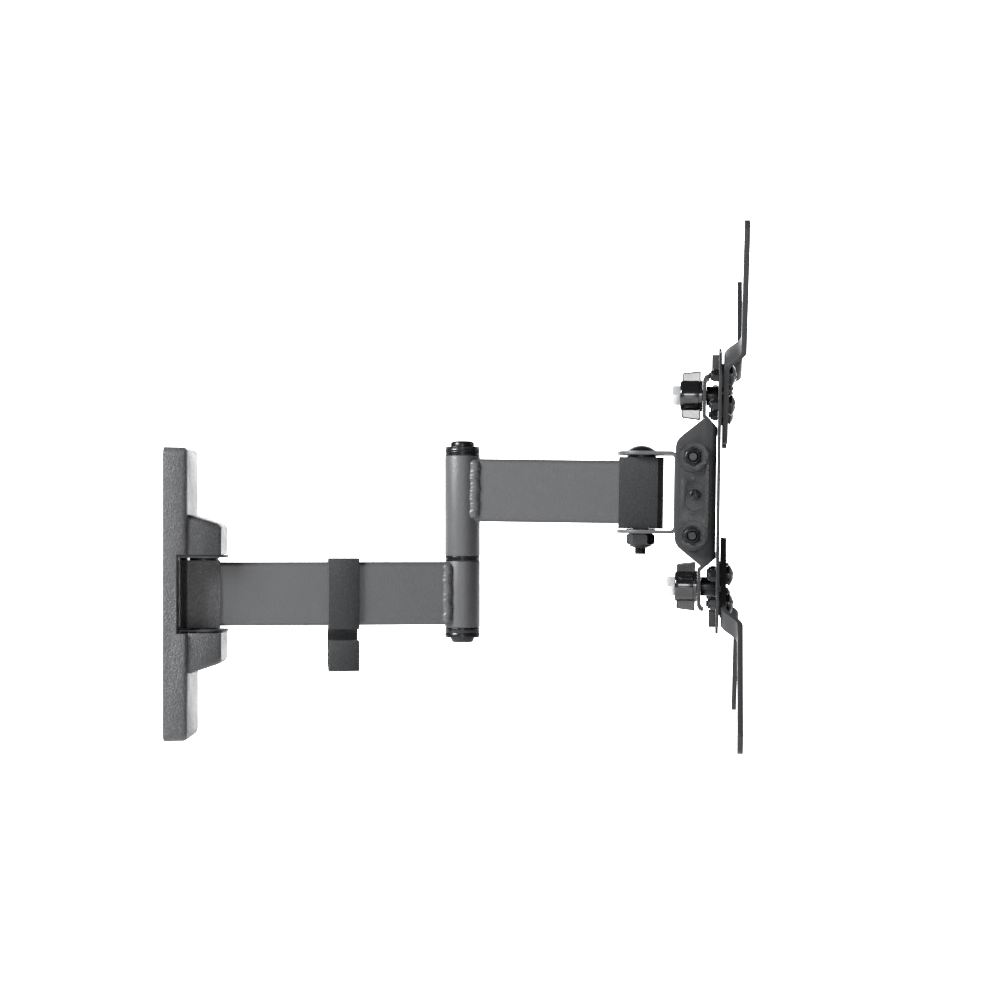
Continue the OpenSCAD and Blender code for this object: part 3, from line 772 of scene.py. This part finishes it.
class Paintbox:
    """Builds each finish's material once and puts it on pieces."""

    def __init__(self) -> None:
        """Start with no materials and build the shared surface group."""
        self.skin = surface_group()
        self.made: dict[Finish, bpy.types.Material] = {}

    def material(self, finish: Finish) -> bpy.types.Material:
        """Return the finish's material, building it at its first use."""
        if finish not in self.made:
            self.made[finish] = self.build(finish, RECIPES[finish])
        return self.made[finish]

    def build(self, finish: Finish, recipe: Recipe) -> bpy.types.Material:
        """Build one material from its recipe.

        Args:
            finish: the finish, whose value names the material.
            recipe: its numbers.

        Returns:
            The new material.
        """
        material = bpy.data.materials.new(finish.value)
        material.use_nodes = True
        tree = material.node_tree
        shader = tree.nodes["Principled BSDF"]
        skin = tree.nodes.new("ShaderNodeGroup")
        skin.node_tree = self.skin
        for label, name in SKIN_INPUTS.items():
            skin.inputs[label].default_value = getattr(recipe, name)
        colour = tree.nodes.new("ShaderNodeMix")
        colour.data_type = "RGBA"
        colour.inputs["A"].default_value = (*(DARKEST * c for c in recipe.tone), 1.0)
        colour.inputs["B"].default_value = (*recipe.tone, 1.0)
        tree.links.new(skin.outputs["Shade"], colour.inputs["Factor"])
        base = colour.outputs["Result"]
        # painted highlights: the grain's tops are lightened in the colour
        if recipe.glint_share > 0.0:
            base = self.paint_grain_glints(tree, base, skin.outputs["Height"], recipe)
        tree.links.new(base, shader.inputs["Base Color"])
        rough = math_node(tree, "ADD", skin.outputs["Gloss"], recipe.rough)
        tree.links.new(rough, shader.inputs["Roughness"])
        bump = tree.nodes.new("ShaderNodeBump")
        bump.inputs["Strength"].default_value = recipe.strength
        bump.inputs["Distance"].default_value = recipe.bump
        tree.links.new(skin.outputs["Height"], bump.inputs["Height"])
        tree.links.new(bump.outputs["Normal"], shader.inputs["Normal"])
        shader.inputs["Metallic"].default_value = recipe.metal
        shader.inputs["Coat Weight"].default_value = recipe.coat
        shader.inputs["Coat Roughness"].default_value = recipe.coat_rough
        shader.inputs["Specular IOR Level"].default_value = recipe.specular
        return material

    def paint_grain_glints(
        self,
        tree: bpy.types.NodeTree,
        base: bpy.types.NodeSocket,
        height: bpy.types.NodeSocket,
        recipe: Recipe,
    ) -> bpy.types.NodeSocket:
        """Lighten the tops of the grain: painted highlights that stand for the glints of light on a
        spark-eroded mould's grain.

        Args:
            tree: the material's nodes.
            base: the colour socket so far.
            height: the grain's height socket.
            recipe: the finish's numbers.

        Returns:
            The new colour socket.
        """
        # painted highlights: where the grain is highest the colour is mixed towards a lighter tone
        tops = ranged(tree, height, 0.75, 1.15, 0.0, recipe.glint_share)
        mix = tree.nodes.new("ShaderNodeMix")
        mix.data_type = "RGBA"
        tree.links.new(tops, mix.inputs["Factor"])
        tree.links.new(base, mix.inputs["A"])
        mix.inputs["B"].default_value = (*(min(1.0, GLINT_LIGHT * c) for c in recipe.tone), 1.0)
        return mix.outputs["Result"]

    def paint(self, piece: bpy.types.Object, finish: Finish) -> None:
        """Give a piece one finish's material, whose name starts with the record's slot.

        Args:
            piece: the piece or the CAD node's object.
            finish: its finish.
        """
        piece.data.materials.clear()
        piece.data.materials.append(self.material(finish))


# --------------------------------------------------------------------------------------------
# Pieces
# --------------------------------------------------------------------------------------------


# the least angle in degrees of an edge that is rounded
SHARP_EDGE = 30.0


class Workshop:
    """Finishes pieces: paints them, rides them on their bodies and reports them."""

    def __init__(self, frame: dict) -> None:
        """Keep the frame and note each node's body and finish.
        """
        self.frame = frame
        self.paints = Paintbox()
        bodies = frame["record"]["behaviour"]["bodies"]
        self.body_of = {node: body for body, nodes in bodies.items() for node in nodes}
        slots = {s["node"]: s["material_slot"] for s in frame["record"]["subparts"]}
        self.finish_of = {node: Finish(slot) for node, slot in slots.items()}
        # painted shade: parts farther from the key light get the darker copies of their finishes
        for node in ("cable_clip", "upper_arm_sleeve"):
            self.finish_of[node] = Finish.TEXTURED_PAINTED_SHADE
        for node, finish in self.finish_of.items():
            if finish is Finish.POWDER and node.startswith(("vesa", "plate", "tilt")):
                self.finish_of[node] = Finish.POWDER_PAINTED_SHADE
        self.stood_for: set[str] = set()

    def fit(
        self,
        name: str,
        sheet: Sheet,
        place: Place,
        node: str,
        stands_in: bool = True,
        finish: Optional[Finish] = None,
    ) -> None:
        """Make a piece from a sheet and fix it to the body of a node.

        Args:
            name: the piece's name.
            sheet: its skin in local millimetres.
            place: the local axes.
            node: the node whose body it rides on.
            stands_in: whether the piece is shown in that node's place.
            finish: its finish, or None for the node's own.
        """
        piece = add_object(name, sheet, place)
        self.paints.paint(piece, finish or self.finish_of[node])
        if stands_in:
            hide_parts(node)
            self.stood_for.add(node)
        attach(piece, self.body_of[node])
        LOG.info("%s: %d faces on %s", name, len(piece.data.polygons), self.body_of[node])

    def soften(self, node: str, width: float) -> None:
        """Copy a node's mesh, merge it into flat faces and round its edges with a bevel.

        Args:
            node: the node to stand in for.
            width: the bevel's width in millimetres.
        """
        source = self.frame["nodes"][node]
        mesh = source.data.copy()
        mesh.name = node + "_finished"
        work = bmesh.new()
        work.from_mesh(mesh)
        bmesh.ops.remove_doubles(work, verts=work.verts, dist=2e-6)
        bmesh.ops.dissolve_limit(
            work,
            angle_limit=math.radians(0.6),
            verts=work.verts,
            edges=work.edges,
            use_dissolve_boundaries=False,
        )
        work.to_mesh(mesh)
        work.free()
        piece = bpy.data.objects.new(node + "_finished", mesh)
        bpy.context.scene.collection.objects.link(piece)
        bevel = piece.modifiers.new("rounded_edges", "BEVEL")
        bevel.width = width * MM
        bevel.segments = 3
        bevel.limit_method = "ANGLE"
        bevel.angle_limit = math.radians(SHARP_EDGE)
        bevel.harden_normals = True
        bevel.use_clamp_overlap = True
        mesh.polygons.foreach_set("use_smooth", np.ones(len(mesh.polygons), bool))
        self.paints.paint(piece, self.finish_of[node])
        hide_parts(node)
        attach(piece, self.body_of[node])
        LOG.info("%s: softened by %.2f mm", node, width)

    def dress(self, node: str) -> None:
        """Paint a node that is shown as it is."""
        self.paints.paint(self.frame["nodes"][node], self.finish_of[node])


# --------------------------------------------------------------------------------------------
# Sub-assemblies
# --------------------------------------------------------------------------------------------


@dataclass
class WallBracket:
    """The fixed bracket: the long pivot bolt and its nut between the flanges."""

    pivot_x: float = 31.0
    flange_z: float = 33.8
    bolt_r: float = 7.0
    nut_across: float = 22.0
    nut_h: float = 12.0

    def build(self, shop: Workshop, bones: Skeleton) -> None:
        """Build the bolt, which has a domed head and a threaded end, and its nut.

        Args:
            shop: what paints and fixes the pieces.
            bones: the joints' places.
        """
        place = bones.wall.moved(x=self.pivot_x)
        low = -self.flange_z - self.nut_h
        head = lathe(disc_profile(12.5, self.flange_z + 0.02, self.flange_z + 5.0, 0.3, 2.4))
        shank = lathe(disc_profile(self.bolt_r, low + 6.0, self.flange_z + 0.1, 0.4, 0.02))
        end = thread_skin(self.bolt_r, low - 3.0, low + 6.5, 2.0)
        shop.fit("wall_pivot_bolt_finished", head.joined(shank, end), place, "wall_pivot_bolt")
        nut = hexagon_skin(self.nut_across, low, -self.flange_z, self.bolt_r + 0.02)
        shop.fit("wall_pivot_nut_finished", nut, place, "wall_pivot_nut")


@dataclass
class Elbow:
    """The elbow: two welded tubes on one pin, with dark rings between and beyond them."""

    tube_r: float = 15.8
    bore_r: float = 13.0
    pin_r: float = 8.0
    lower: tuple[float, float] = (-30.6, 28.6)
    upper: tuple[float, float] = (33.1, 122.8)
    low_ring_h: float = 9.0
    top_ring_h: float = 4.0
    head_r: float = 10.7
    bush_len: float = 18.0
    arm_half: float = 12.0

    def build(self, shop: Workshop, bones: Skeleton) -> None:
        """Build the tubes, rings, pin and weld beads.

        Args:
            shop: what paints and fixes the pieces.
            bones: the joints' places.
        """
        place = bones.elbow
        for node, (z0, z1) in (("elbow_lower_tube", self.lower), ("elbow_upper_tube", self.upper)):
            tube = lathe(tube_profile(self.bore_r, self.tube_r, z0, z1, 0.7), 144)
            shop.fit(node + "_finished", tube, place, node)
        self.build_rings(shop, place)
        self.build_pin(shop, place)
        self.build_welds(shop, bones)

    def grooved_ring(self, z0: float, z1: float, bore: float, groove: float = 0.5) -> Sheet:
        """Make a ring whose outer face has a shallow groove half way up.

        Args:
            z0: the lower face.
            z1: the upper face.
            bore: the hole's radius.
            groove: the groove's depth.

        Returns:
            A closed skin round z.
        """
        r, mid, edge = self.tube_r, (z0 + z1) / 2.0, 0.55
        outer = quarter(r - edge, z0 + edge, edge, -90.0)
        outer += [(r, mid - 0.8), (r - groove, mid - 0.3), (r - groove, mid + 0.3), (r, mid + 0.8)]
        outer += quarter(r - edge, z1 - edge, edge, 0.0)
        inner = [(bore + 0.3, z1), (bore, z1 - 0.3), (bore, z0 + 0.3), (bore + 0.3, z0)]
        points = outer + inner
        return lathe(points + points[:1], 144)

    def build_rings(self, shop: Workshop, place: Place) -> None:
        """Build the bottom ring, the plain bushes with the middle ring, and the two top rings.

        Args:
            shop: what paints and fixes the pieces.
            place: the axes that the pieces are made in.
        """
        low, low_top = self.lower
        high, high_top = self.upper
        bottom = self.grooved_ring(low - self.low_ring_h, low - 0.35, self.pin_r + 0.02, 0.3)
        lip = lathe(tube_profile(self.pin_r + 0.02, self.tube_r - 1.0, low - 0.6, low - 0.01, 0.1))
        shop.fit("elbow_bottom_ring_finished", bottom.joined(lip), place, "elbow_bottom_ring")
        bushes = [
            lathe(tube_profile(self.pin_r + 0.05, self.bore_r - 0.01, high, high + self.bush_len, 0.3)),
            lathe(tube_profile(self.pin_r + 0.05, self.bore_r - 0.01, high_top - self.bush_len, high_top, 0.3)),
            self.grooved_ring(low_top + 0.1, high - 0.02, self.pin_r + 0.05),
            self.grooved_ring(high_top, high_top + self.top_ring_h, self.pin_r + 0.05),
        ]
        shop.fit(
            "elbow_upper_bushes_finished", bushes[0].joined(*bushes[1:]), place, "elbow_upper_bushes",
            finish=Finish.BLACK_STEEL,
        )
        top = high_top + self.top_ring_h
        washer = self.grooved_ring(top + 0.1, top + self.top_ring_h, self.pin_r + 0.02, 0.25)
        shop.fit("elbow_thrust_washer_finished", washer, place, "elbow_thrust_washer")

    def build_pin(self, shop: Workshop, place: Place) -> None:
        """Build the pin with its tapered lower head, and the cap pressed on its top with a dimple.

        Args:
            shop: what paints and fixes the pieces.
            place: the axes that the pieces are made in.
        """
        z0 = self.lower[0] - self.low_ring_h
        z1 = self.upper[1] + 2 * self.top_ring_h
        head = [(0.0, z0 - 3.4), (4.2, z0 - 3.4), (4.8, z0 - 4.4), (self.head_r - 2.0, z0 - 4.4)]
        head += [(self.head_r - 1.5, z0 - 4.2), (self.head_r - 0.2, z0 - 1.5), (self.head_r, z0 - 1.0)]
        head += [(self.head_r, z0 - 0.4), (self.head_r - 0.3, z0 - 0.02), (self.pin_r, z0 - 0.02)]
        head += [(self.pin_r, z1 - 0.3), (self.pin_r - 0.3, z1), (0.0, z1)]
        shop.fit("elbow_pin_finished", lathe(head), place, "elbow_pin")
        cap = [(0.0, z1 + 0.01), (self.head_r - 0.4, z1 + 0.01)]
        cap += [(self.head_r, z1 + 0.5), (self.head_r, z1 + 2.9)]
        cap += [(self.head_r - 0.3, z1 + 3.7), (self.head_r - 1.3, z1 + 4.7), (self.head_r - 2.6, z1 + 5.2)]
        cap += [(6.2, z1 + 5.2), (5.4, z1 + 4.9), (4.6, z1 + 4.2), (0.0, z1 + 4.0)]
        shop.fit("elbow_pin_cap_finished", lathe(cap), place, "elbow_pin_cap")

    def build_welds(self, shop: Workshop, bones: Skeleton) -> None:
        """Lay a rippled bead on both sides of each arm where its tube meets the elbow's tube.

        Args:
            shop: what paints and fixes the pieces.
            bones: the joints' places.
        """
        reach = math.sqrt(self.tube_r**2 - self.arm_half**2)
        arm = Place(bones.elbow.origin, bones.lower.axes)
        side = self.arm_half - 1.0
        beads = [weld_skin(-reach - 4.4, s * side, -27.3, 26.8, 4.5, 3.7) for s in (-1.0, 1.0)]
        shop.fit("lower_weld_beads", beads[0].joined(beads[1]), arm, "elbow_lower_tube", stands_in=False)
        beads = [weld_skin(reach + 1.1, s * side, -26.0, 27.2, 5.3, 4.4, 3.6) for s in (-1.0, 1.0)]
        pair = beads[0].joined(beads[1])
        shop.fit("upper_weld_beads", pair, bones.upper, "elbow_upper_tube", stands_in=False)


@dataclass
class YokeBolt:
    """The head pivot's bolt: a low dome on top, and a nut and a threaded end underneath."""

    flange_z: float = 36.5
    bolt_r: float = 7.0
    dome_r: float = 13.7
    dome_h: float = 5.8
    nut_across: float = 22.0
    nut_h: float = 12.0
    end_r: float = 5.5

    def build(self, shop: Workshop, bones: Skeleton) -> None:
        """Build the bolt and its nut.

        Args:
            shop: what paints and fixes the pieces.
            bones: the joints' places.
        """
        ball = (self.dome_r**2 + self.dome_h**2) / (2.0 * self.dome_h)
        t = np.linspace(math.asin((self.dome_r - 0.3) / ball), 0.0, 22)
        top = [(ball * math.sin(q), self.flange_z + self.dome_h - ball * (1.0 - math.cos(q))) for q in t]
        low = -self.flange_z - self.nut_h
        profile = [(0.0, low - 1.0), (self.bolt_r - 0.8, low - 1.0), (self.bolt_r, low - 0.2)]
        profile += [(self.bolt_r, self.flange_z + 0.02), (self.dome_r - 0.2, self.flange_z + 0.02)]
        profile += [(self.dome_r, self.flange_z + 0.15)] + top[:-1] + [(0.0, self.flange_z + self.dome_h)]
        end = thread_skin(self.end_r, low - 6.5, low - 0.9, 1.6, 1.0)
        shop.fit("yoke_bolt_finished", lathe(profile).joined(end), bones.head, "yoke_bolt")
        nut = hexagon_skin(self.nut_across, low + 1.8, -self.flange_z, self.bolt_r + 0.02)
        nut = nut.spun(30.0)
        collar = [(self.bolt_r + 0.02, low + 0.3), (self.bolt_r + 0.6, low), (8.3, low), (9.6, low + 0.9)]
        collar += [(10.0, low + 2.2), (10.0, low + 3.2), (self.bolt_r + 0.02, low + 3.2)]
        shop.fit("yoke_nut_finished", nut.joined(lathe(collar + collar[:1])), bones.head, "yoke_nut")


@dataclass
class TiltFasteners:
    """The bolts, collared nuts and centre screws that clamp the tilting head."""

    bolt_x: float = 46.2
    bolt_zs: tuple[float, float] = (31.2, -38.0)
    axis_x: float = 48.2
    axis_z: float = -2.0
    face: float = 33.6
    bolt_r: float = 4.0
    across: float = 13.0
    screw_r: float = 3.0
    screw_seat: float = 27.5
    # each mark's place along the arm, its height, its radius and its depth below the plate's face
    marks: tuple[tuple[float, float, float, float], ...] = (
        (46.2, 12.6, 1.9, 4.1), (46.2, -18.2, 1.9, 4.1), (55.9, 29.0, 1.3, 0.0), (56.2, -37.0, 1.5, 0.0),
        (46.6, -48.4, 1.2, 0.0),
    )

    def build(self, shop: Workshop, bones: Skeleton) -> None:
        """Build every fastener from the near side's point of view, with the heads on the far side.

        Args:
            shop: what paints and fixes the pieces.
            bones: the joints' places.
        """
        bolts: list[Sheet] = []
        nuts: list[Sheet] = []
        face, seat = self.face, self.face - 5.5
        place = bones.head.upright("-y")
        for z in self.bolt_zs:
            rod = thread_skin(self.bolt_r, seat - 4.0, face + 1.0, 1.25, 0.9)
            shank = lathe(disc_profile(self.bolt_r, -seat, seat - 3.5, 0.2, 0.2), 48)
            head = hexagon_skin(self.across, -seat - 5.3, -seat, high=False)
            bolts.append(rod.joined(shank, head).shifted(x=self.bolt_x, y=z))
            nut = hexagon_skin(self.across, face - 5.5, face - 0.8, self.bolt_r + 0.02)
            collar = [(4.5, face - 1.6), (6.2, face - 1.6), (6.2, face - 0.5), (5.6, face + 0.4)]
            collar += [(4.9, face + 0.5), (4.5, face + 0.1)]
            nuts.append(nut.joined(lathe(collar + collar[:1], 64)).shifted(x=self.bolt_x, y=z))
        shop.fit("tilt_bolts_finished", bolts[0].joined(bolts[1]), place, "tilt_bolts")
        shop.fit("tilt_nuts_finished", nuts[0].joined(nuts[1]), place, "tilt_nuts")
        pips = [
            lathe(disc_profile(r, -0.05, 0.25, 0.02, 0.2), 32).shifted(x=x, y=z, z=face - depth)
            for x, z, r, depth in self.marks
        ]
        sheet = pips[0].joined(*pips[1:])
        for name, rows in (("near", place), ("far", place.mirrored())):
            shop.fit("ejector_marks_" + name, sheet, rows, "friction_plate_" + name, stands_in=False)
        for name, side in (("near", "-y"), ("far", "y")):
            head = cross_head(4.7, self.screw_seat, 0.8, 1.0, 2.9)
            rod = lathe(disc_profile(self.screw_r, 12.5, self.screw_seat + 0.1, 0.4, 0.02), 48)
            spot = bones.head.moved(x=self.axis_x, z=self.axis_z).upright(side)
            screw = head.joined(rod)
            shop.fit("tilt_axis_screw_" + name, screw, spot, "tilt_axis_screws", finish=Finish.BLACK_STEEL)


@dataclass
class PlateFasteners:
    """The screws, washers and nuts that hold the extension arms, and the knobs' spacers."""

    plate_x: float = PLATE_X
    seat_x: float = 75.7
    washer_t: float = 1.4
    radii: tuple[float, float] = (72.6 * math.sqrt(2.0), 96.0 * math.sqrt(2.0))
    angles: tuple[float, ...] = (45.0, -45.0, 135.0, -135.0)
    screw_r: float = 3.0
    head_r: float = 8.9
    nut_across: float = 10.0
    flange_x: float = FLANGE_X
    knob_z: float = KNOB_Z
    knob_rise: float = KNOB_RISE
    lower_foot_out: float = LOWER_FOOT_OUT

    def build(self, shop: Workshop, bones: Skeleton) -> None:
        """Build the eight screws with their washers and collared nuts, and the two spacers.

        Args:
            shop: what paints and fixes the pieces.
            bones: the joints' places.
        """
        seat = self.seat_x + self.washer_t
        head = cross_head(self.head_r, seat, 1.6, 3.4, 4.4)
        end = thread_skin(self.screw_r, self.plate_x - 8.4, seat + 0.05, 1.0, 0.6)
        washer = lathe(tube_profile(self.screw_r + 0.1, 8.0, self.seat_x, seat, 0.3), 64)
        nut = hexagon_skin(self.nut_across, self.plate_x - 5.0, self.plate_x, self.screw_r + 0.02)
        lip = [(3.1, self.plate_x - 4.6), (3.1, self.plate_x - 6.8), (3.4, self.plate_x - 7.0)]
        lip += [(4.1, self.plate_x - 6.9), (4.6, self.plate_x - 6.2), (4.6, self.plate_x - 4.6)]
        nut = nut.joined(lathe(lip + lip[:1], 48))
        place = bones.plate.upright("x")
        for name, sheet in (("arm_screws", head.joined(end)), ("arm_washers", washer), ("arm_nuts", nut)):
            shop.fit(name + "_finished", self.spread(sheet), place, name)
        spacers = [
            lathe(tube_profile(5.05, 8.5, foot + 3.15, self.plate_x - 0.02, 0.5), 64).shifted(
                y=self.knob_rise + s * self.knob_z
            )
            for s, foot in ((-1.0, self.flange_x - self.lower_foot_out), (1.0, self.flange_x))
        ]
        shop.fit("knob_spacers_finished", spacers[0].joined(spacers[1]), place, "knob_spacers")

    def spread(self, sheet: Sheet) -> Sheet:
        """Repeat a fastener at every hole, each turned by an angle of its own.

        Args:
            sheet: one fastener on the plate's axis.

        Returns:
            All eight in one sheet.
        """
        copies: list[Sheet] = []
        for angle in self.angles:
            c, s = math.cos(math.radians(angle)), math.sin(math.radians(angle))
            for step, radius in enumerate(self.radii):
                spun = sheet.spun(17.0 * step + angle / 3.0)
                copies.append(spun.shifted(x=-s * radius, y=c * radius))
        return copies[0].joined(*copies[1:])


@dataclass
class Knob:
    """A wing knob: a glossy barrel with two blocky wings on a hexagon-headed bolt."""

    name: str
    side: float
    backed_off: float = 0.0
    flange_x: float = FLANGE_X
    rise: float = KNOB_RISE
    pitch_z: float = KNOB_Z
    barrel_r: float = 13.9
    barrel_len: float = 19.9
    wing_t: float = 7.2
    wing_reach: float = 21.8
    head_across: float = 17.0
    head_h: float = 7.1
    bolt_r: float = 5.0
    plate_x: float = PLATE_X

    def build(self, shop: Workshop, bones: Skeleton) -> None:
        """Build the grip and the bolt.

        Args:
            shop: what paints and fixes the pieces.
            bones: the joints' places.
        """
        spot = bones.plate.moved(x=-self.backed_off, z=self.rise + self.side * self.pitch_z)
        end = self.flange_x - 0.2
        seat = end - self.barrel_len
        place = spot.upright("x")
        barrel = self.barrel(seat, end)
        wings = [self.wing(end, way) for way in (1.0, -1.0)]
        grip = barrel.joined(*wings)
        shop.fit(f"knob_{self.name}_grip_finished", grip, place, f"knob_{self.name}_grip", finish=Finish.KNOB)
        head = hexagon_skin(self.head_across, seat - self.head_h, seat - 0.02, high=False)
        rod = thread_skin(self.bolt_r, seat - 0.1, self.plate_x - 1.2, 1.5, 0.9)
        place = spot.spun(30.0).upright("x")
        shop.fit(f"knob_{self.name}_bolt_finished", head.joined(rod), place, f"knob_{self.name}_bolt")

    def barrel(self, low: float, high: float) -> Sheet:
        """Turn the barrel, which has a collar at its foot and a slight waist."""
        r = self.barrel_r
        points = [(self.bolt_r + 0.05, low + 0.5), (self.bolt_r + 0.5, low + 0.1)]
        points += [(8.6, low + 0.1), (9.2, low + 0.02)]
        points += quarter(r - 2.0, low + 1.6, 1.6, -90.0, 8)
        points += [(r - 0.2, low + 4.0), (r - 0.35, low + 9.0), (r - 0.2, high - 4.4), (r - 0.1, high - 3.6)]
        points += [(r - 0.9, high - 3.2), (r - 0.9, high - 2.6), (r, high - 2.3)]
        points += [(r, high - 0.5), (r - 0.5, high)]
        points += [(self.bolt_r + 0.3, high), (self.bolt_r + 0.05, high - 0.3)]
        return lathe(points + points[:1], 144)

    def wing(self, end: float, way: float) -> Sheet:
        """Make one wing.

        Its outline, in the knob's length and reach, is a block whose tip slopes outwards towards the
        bracket; it is thickened across with rounded edges.

        Args:
            end: where the knob meets the bracket.
            way: 1 for the upper wing or -1 for the lower.

        Returns:
            A closed skin in the knob's axes.
        """
        x0, x1, root, tip = end - 18.3, end - 1.7, 9.0, self.wing_reach
        outline = np.array([
            [x0 + 0.2, root], [x1, root], [x1, tip - 0.9], [x1 - 0.3, tip - 0.2], [x1 - 0.9, tip],
            [x0 + 1.2, tip - 1.7], [x0 + 0.4, tip - 2.1], [x0, tip - 2.8],
        ])
        flat = pressed(outline, -self.wing_t / 2, self.wing_t / 2, 0.9)
        x, y, z = flat.points.T
        return Sheet(np.column_stack([z, way * y, x]), flat.faces)


# --------------------------------------------------------------------------------------------
# Studio
# --------------------------------------------------------------------------------------------


@dataclass(frozen=True)
class Studio:
    """Plain pale floor, soft lights and the camera."""

    focal: float = 73.4
    sensor: float = 36.0
    camera_m: tuple[float, float, float] = (0.2745, -1.8, 0.0557)
    shift_x: float = 0.020
    shift_y: float = 0.030
    floor_drop_m: float = 0.36
    floor_half_m: float = 14.0

    def build(self) -> None:
        """Add the floor, the lights and the camera."""
        self.add_floor()
        self.add_lights()
        self.add_camera()

    def add_floor(self) -> None:
        """Lay a wide pale floor under the model."""
        size, z = self.floor_half_m, -self.floor_drop_m
        mesh = bpy.data.meshes.new("floor")
        corners = [(-size, -size, z), (size, -size, z), (size, size, z), (-size, size, z)]
        mesh.from_pydata(corners, [], [[0, 1, 2, 3]])
        floor = bpy.data.objects.new("floor", mesh)
        bpy.context.scene.collection.objects.link(floor)
        material = bpy.data.materials.new("pale_floor")
        material.use_nodes = True
        shader = material.node_tree.nodes["Principled BSDF"]
        shader.inputs["Base Color"].default_value = (0.93, 0.93, 0.93, 1.0)
        shader.inputs["Roughness"].default_value = 0.9
        shader.inputs["Specular IOR Level"].default_value = 0.0
        shader.inputs["Emission Color"].default_value = (1.0, 1.0, 1.0, 1.0)
        # glows white to the eye everywhere, and to the model only far behind it
        tree = material.node_tree
        far = ranged(tree, split_coords(tree, "Object").outputs["Y"], 0.8, 3.0, 0.0, 4.0)
        tree.links.new(white_to_the_eye(tree, far), shader.inputs["Emission Strength"])
        mesh.materials.append(material)

    def add_lights(self) -> None:
        """Light the model from the front left, from above and from the right, inside a white room."""
        world = bpy.data.worlds.new("white_room")
        world.use_nodes = True
        tree = world.node_tree
        back = tree.nodes["Background"]
        split = split_coords(tree, "Generated")
        # dim in front of the model, bright straight behind it, plain white to the eye
        behind = ranged(tree, split.outputs["Y"], 0.70, 0.99, 0.03, 5.0)
        above = ranged(tree, split.outputs["Z"], -0.5, 0.8, 0.75, 1.3)
        lit = math_node(tree, "MULTIPLY", behind, above)
        tree.links.new(white_to_the_eye(tree, lit), back.inputs["Strength"])
        back.inputs["Color"].default_value = (1.0, 1.0, 1.0, 1.0)
        bpy.context.scene.world = world
        target = Vector((0.22, 0.0, 0.05))
        self.add_panel("key", (-1.0, -0.8, 0.9), target, 0.6, 84.0)
        self.add_panel("front", (0.21, -2.3, 0.42), target, 0.46, 8.0)
        self.add_panel("low", (0.30, -1.9, -0.30), target, 0.5, 2.0)
        self.add_panel("right", (2.2, 0.6, 0.7), target, 1.2, 5.0)

    def add_panel(
        self, name: str, spot: tuple[float, float, float], target: Vector, size: float, power: float
    ) -> None:
        """Add one square soft light that faces the target.

        Args:
            name: the light's name.
            spot: where it stands, in metres.
            target: what it faces.
            size: its side in metres.
            power: its power in watts.
        """
        light = bpy.data.lights.new(name, "AREA")
        light.shape = "SQUARE"
        light.size = size
        light.energy = power
        lamp = bpy.data.objects.new(name, light)
        lamp.location = spot
        lamp.rotation_euler = (target - Vector(spot)).to_track_quat("-Z", "Y").to_euler()
        bpy.context.scene.collection.objects.link(lamp)

    def add_camera(self) -> None:
        """Add the level camera that looks along +Y."""
        camera = bpy.data.cameras.new("camera")
        camera.sensor_width = self.sensor
        camera.lens = self.focal
        camera.shift_x = self.shift_x
        camera.shift_y = self.shift_y
        camera.clip_start = 0.05
        seat = bpy.data.objects.new("camera", camera)
        seat.location = self.camera_m
        seat.rotation_euler = (math.radians(90.0), 0.0, 0.0)
        bpy.context.scene.collection.objects.link(seat)
        bpy.context.scene.camera = seat
        bpy.context.scene.view_settings.view_transform = "Standard"


# --------------------------------------------------------------------------------------------
# The whole
# --------------------------------------------------------------------------------------------

# how far the edges of each CAD piece are rounded, in millimetres
SOFTENED = {
    "wall_plate": 0.4, "pivot_bracket": 0.4, "vesa_plate": 0.4, "plate_lips": 0.4,
    "cable_clip": 0.5, "yoke": 0.5, "tilt_bracket": 0.5,
    "friction_plate_near": 0.5, "friction_plate_far": 0.5,
    "vesa_arm_upper_near": 0.6, "vesa_arm_upper_far": 0.6,
    "vesa_arm_lower_near": 0.6, "vesa_arm_lower_far": 0.6,
    "lower_arm_sleeve": 1.2, "upper_arm_sleeve": 1.2,
    "pivot_cover_upper": 1.4, "pivot_cover_lower": 1.4, "wall_cover": 1.8,
}


def main() -> None:
    """Load the frame, build and dress every piece, and set the studio."""
    logging.basicConfig(level=logging.INFO, format="%(name)s: %(message)s")
    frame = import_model()
    shop = Workshop(frame)
    bones = Skeleton(frame)
    knobs = (Knob("upper", 1.0), Knob("lower", -1.0, LOWER_FOOT_OUT))
    for part in (WallBracket(), Elbow(), YokeBolt(), TiltFasteners(), PlateFasteners(), *knobs):
        part.build(shop, bones)
        LOG.info("%s is built", type(part).__name__)
    for node in frame["nodes"]:
        if node in SOFTENED:
            shop.soften(node, SOFTENED[node])
        elif node not in shop.stood_for:
            shop.dress(node)
    Studio().build()
    bpy.context.view_layer.update()


if __name__ == "__main__":
    main()
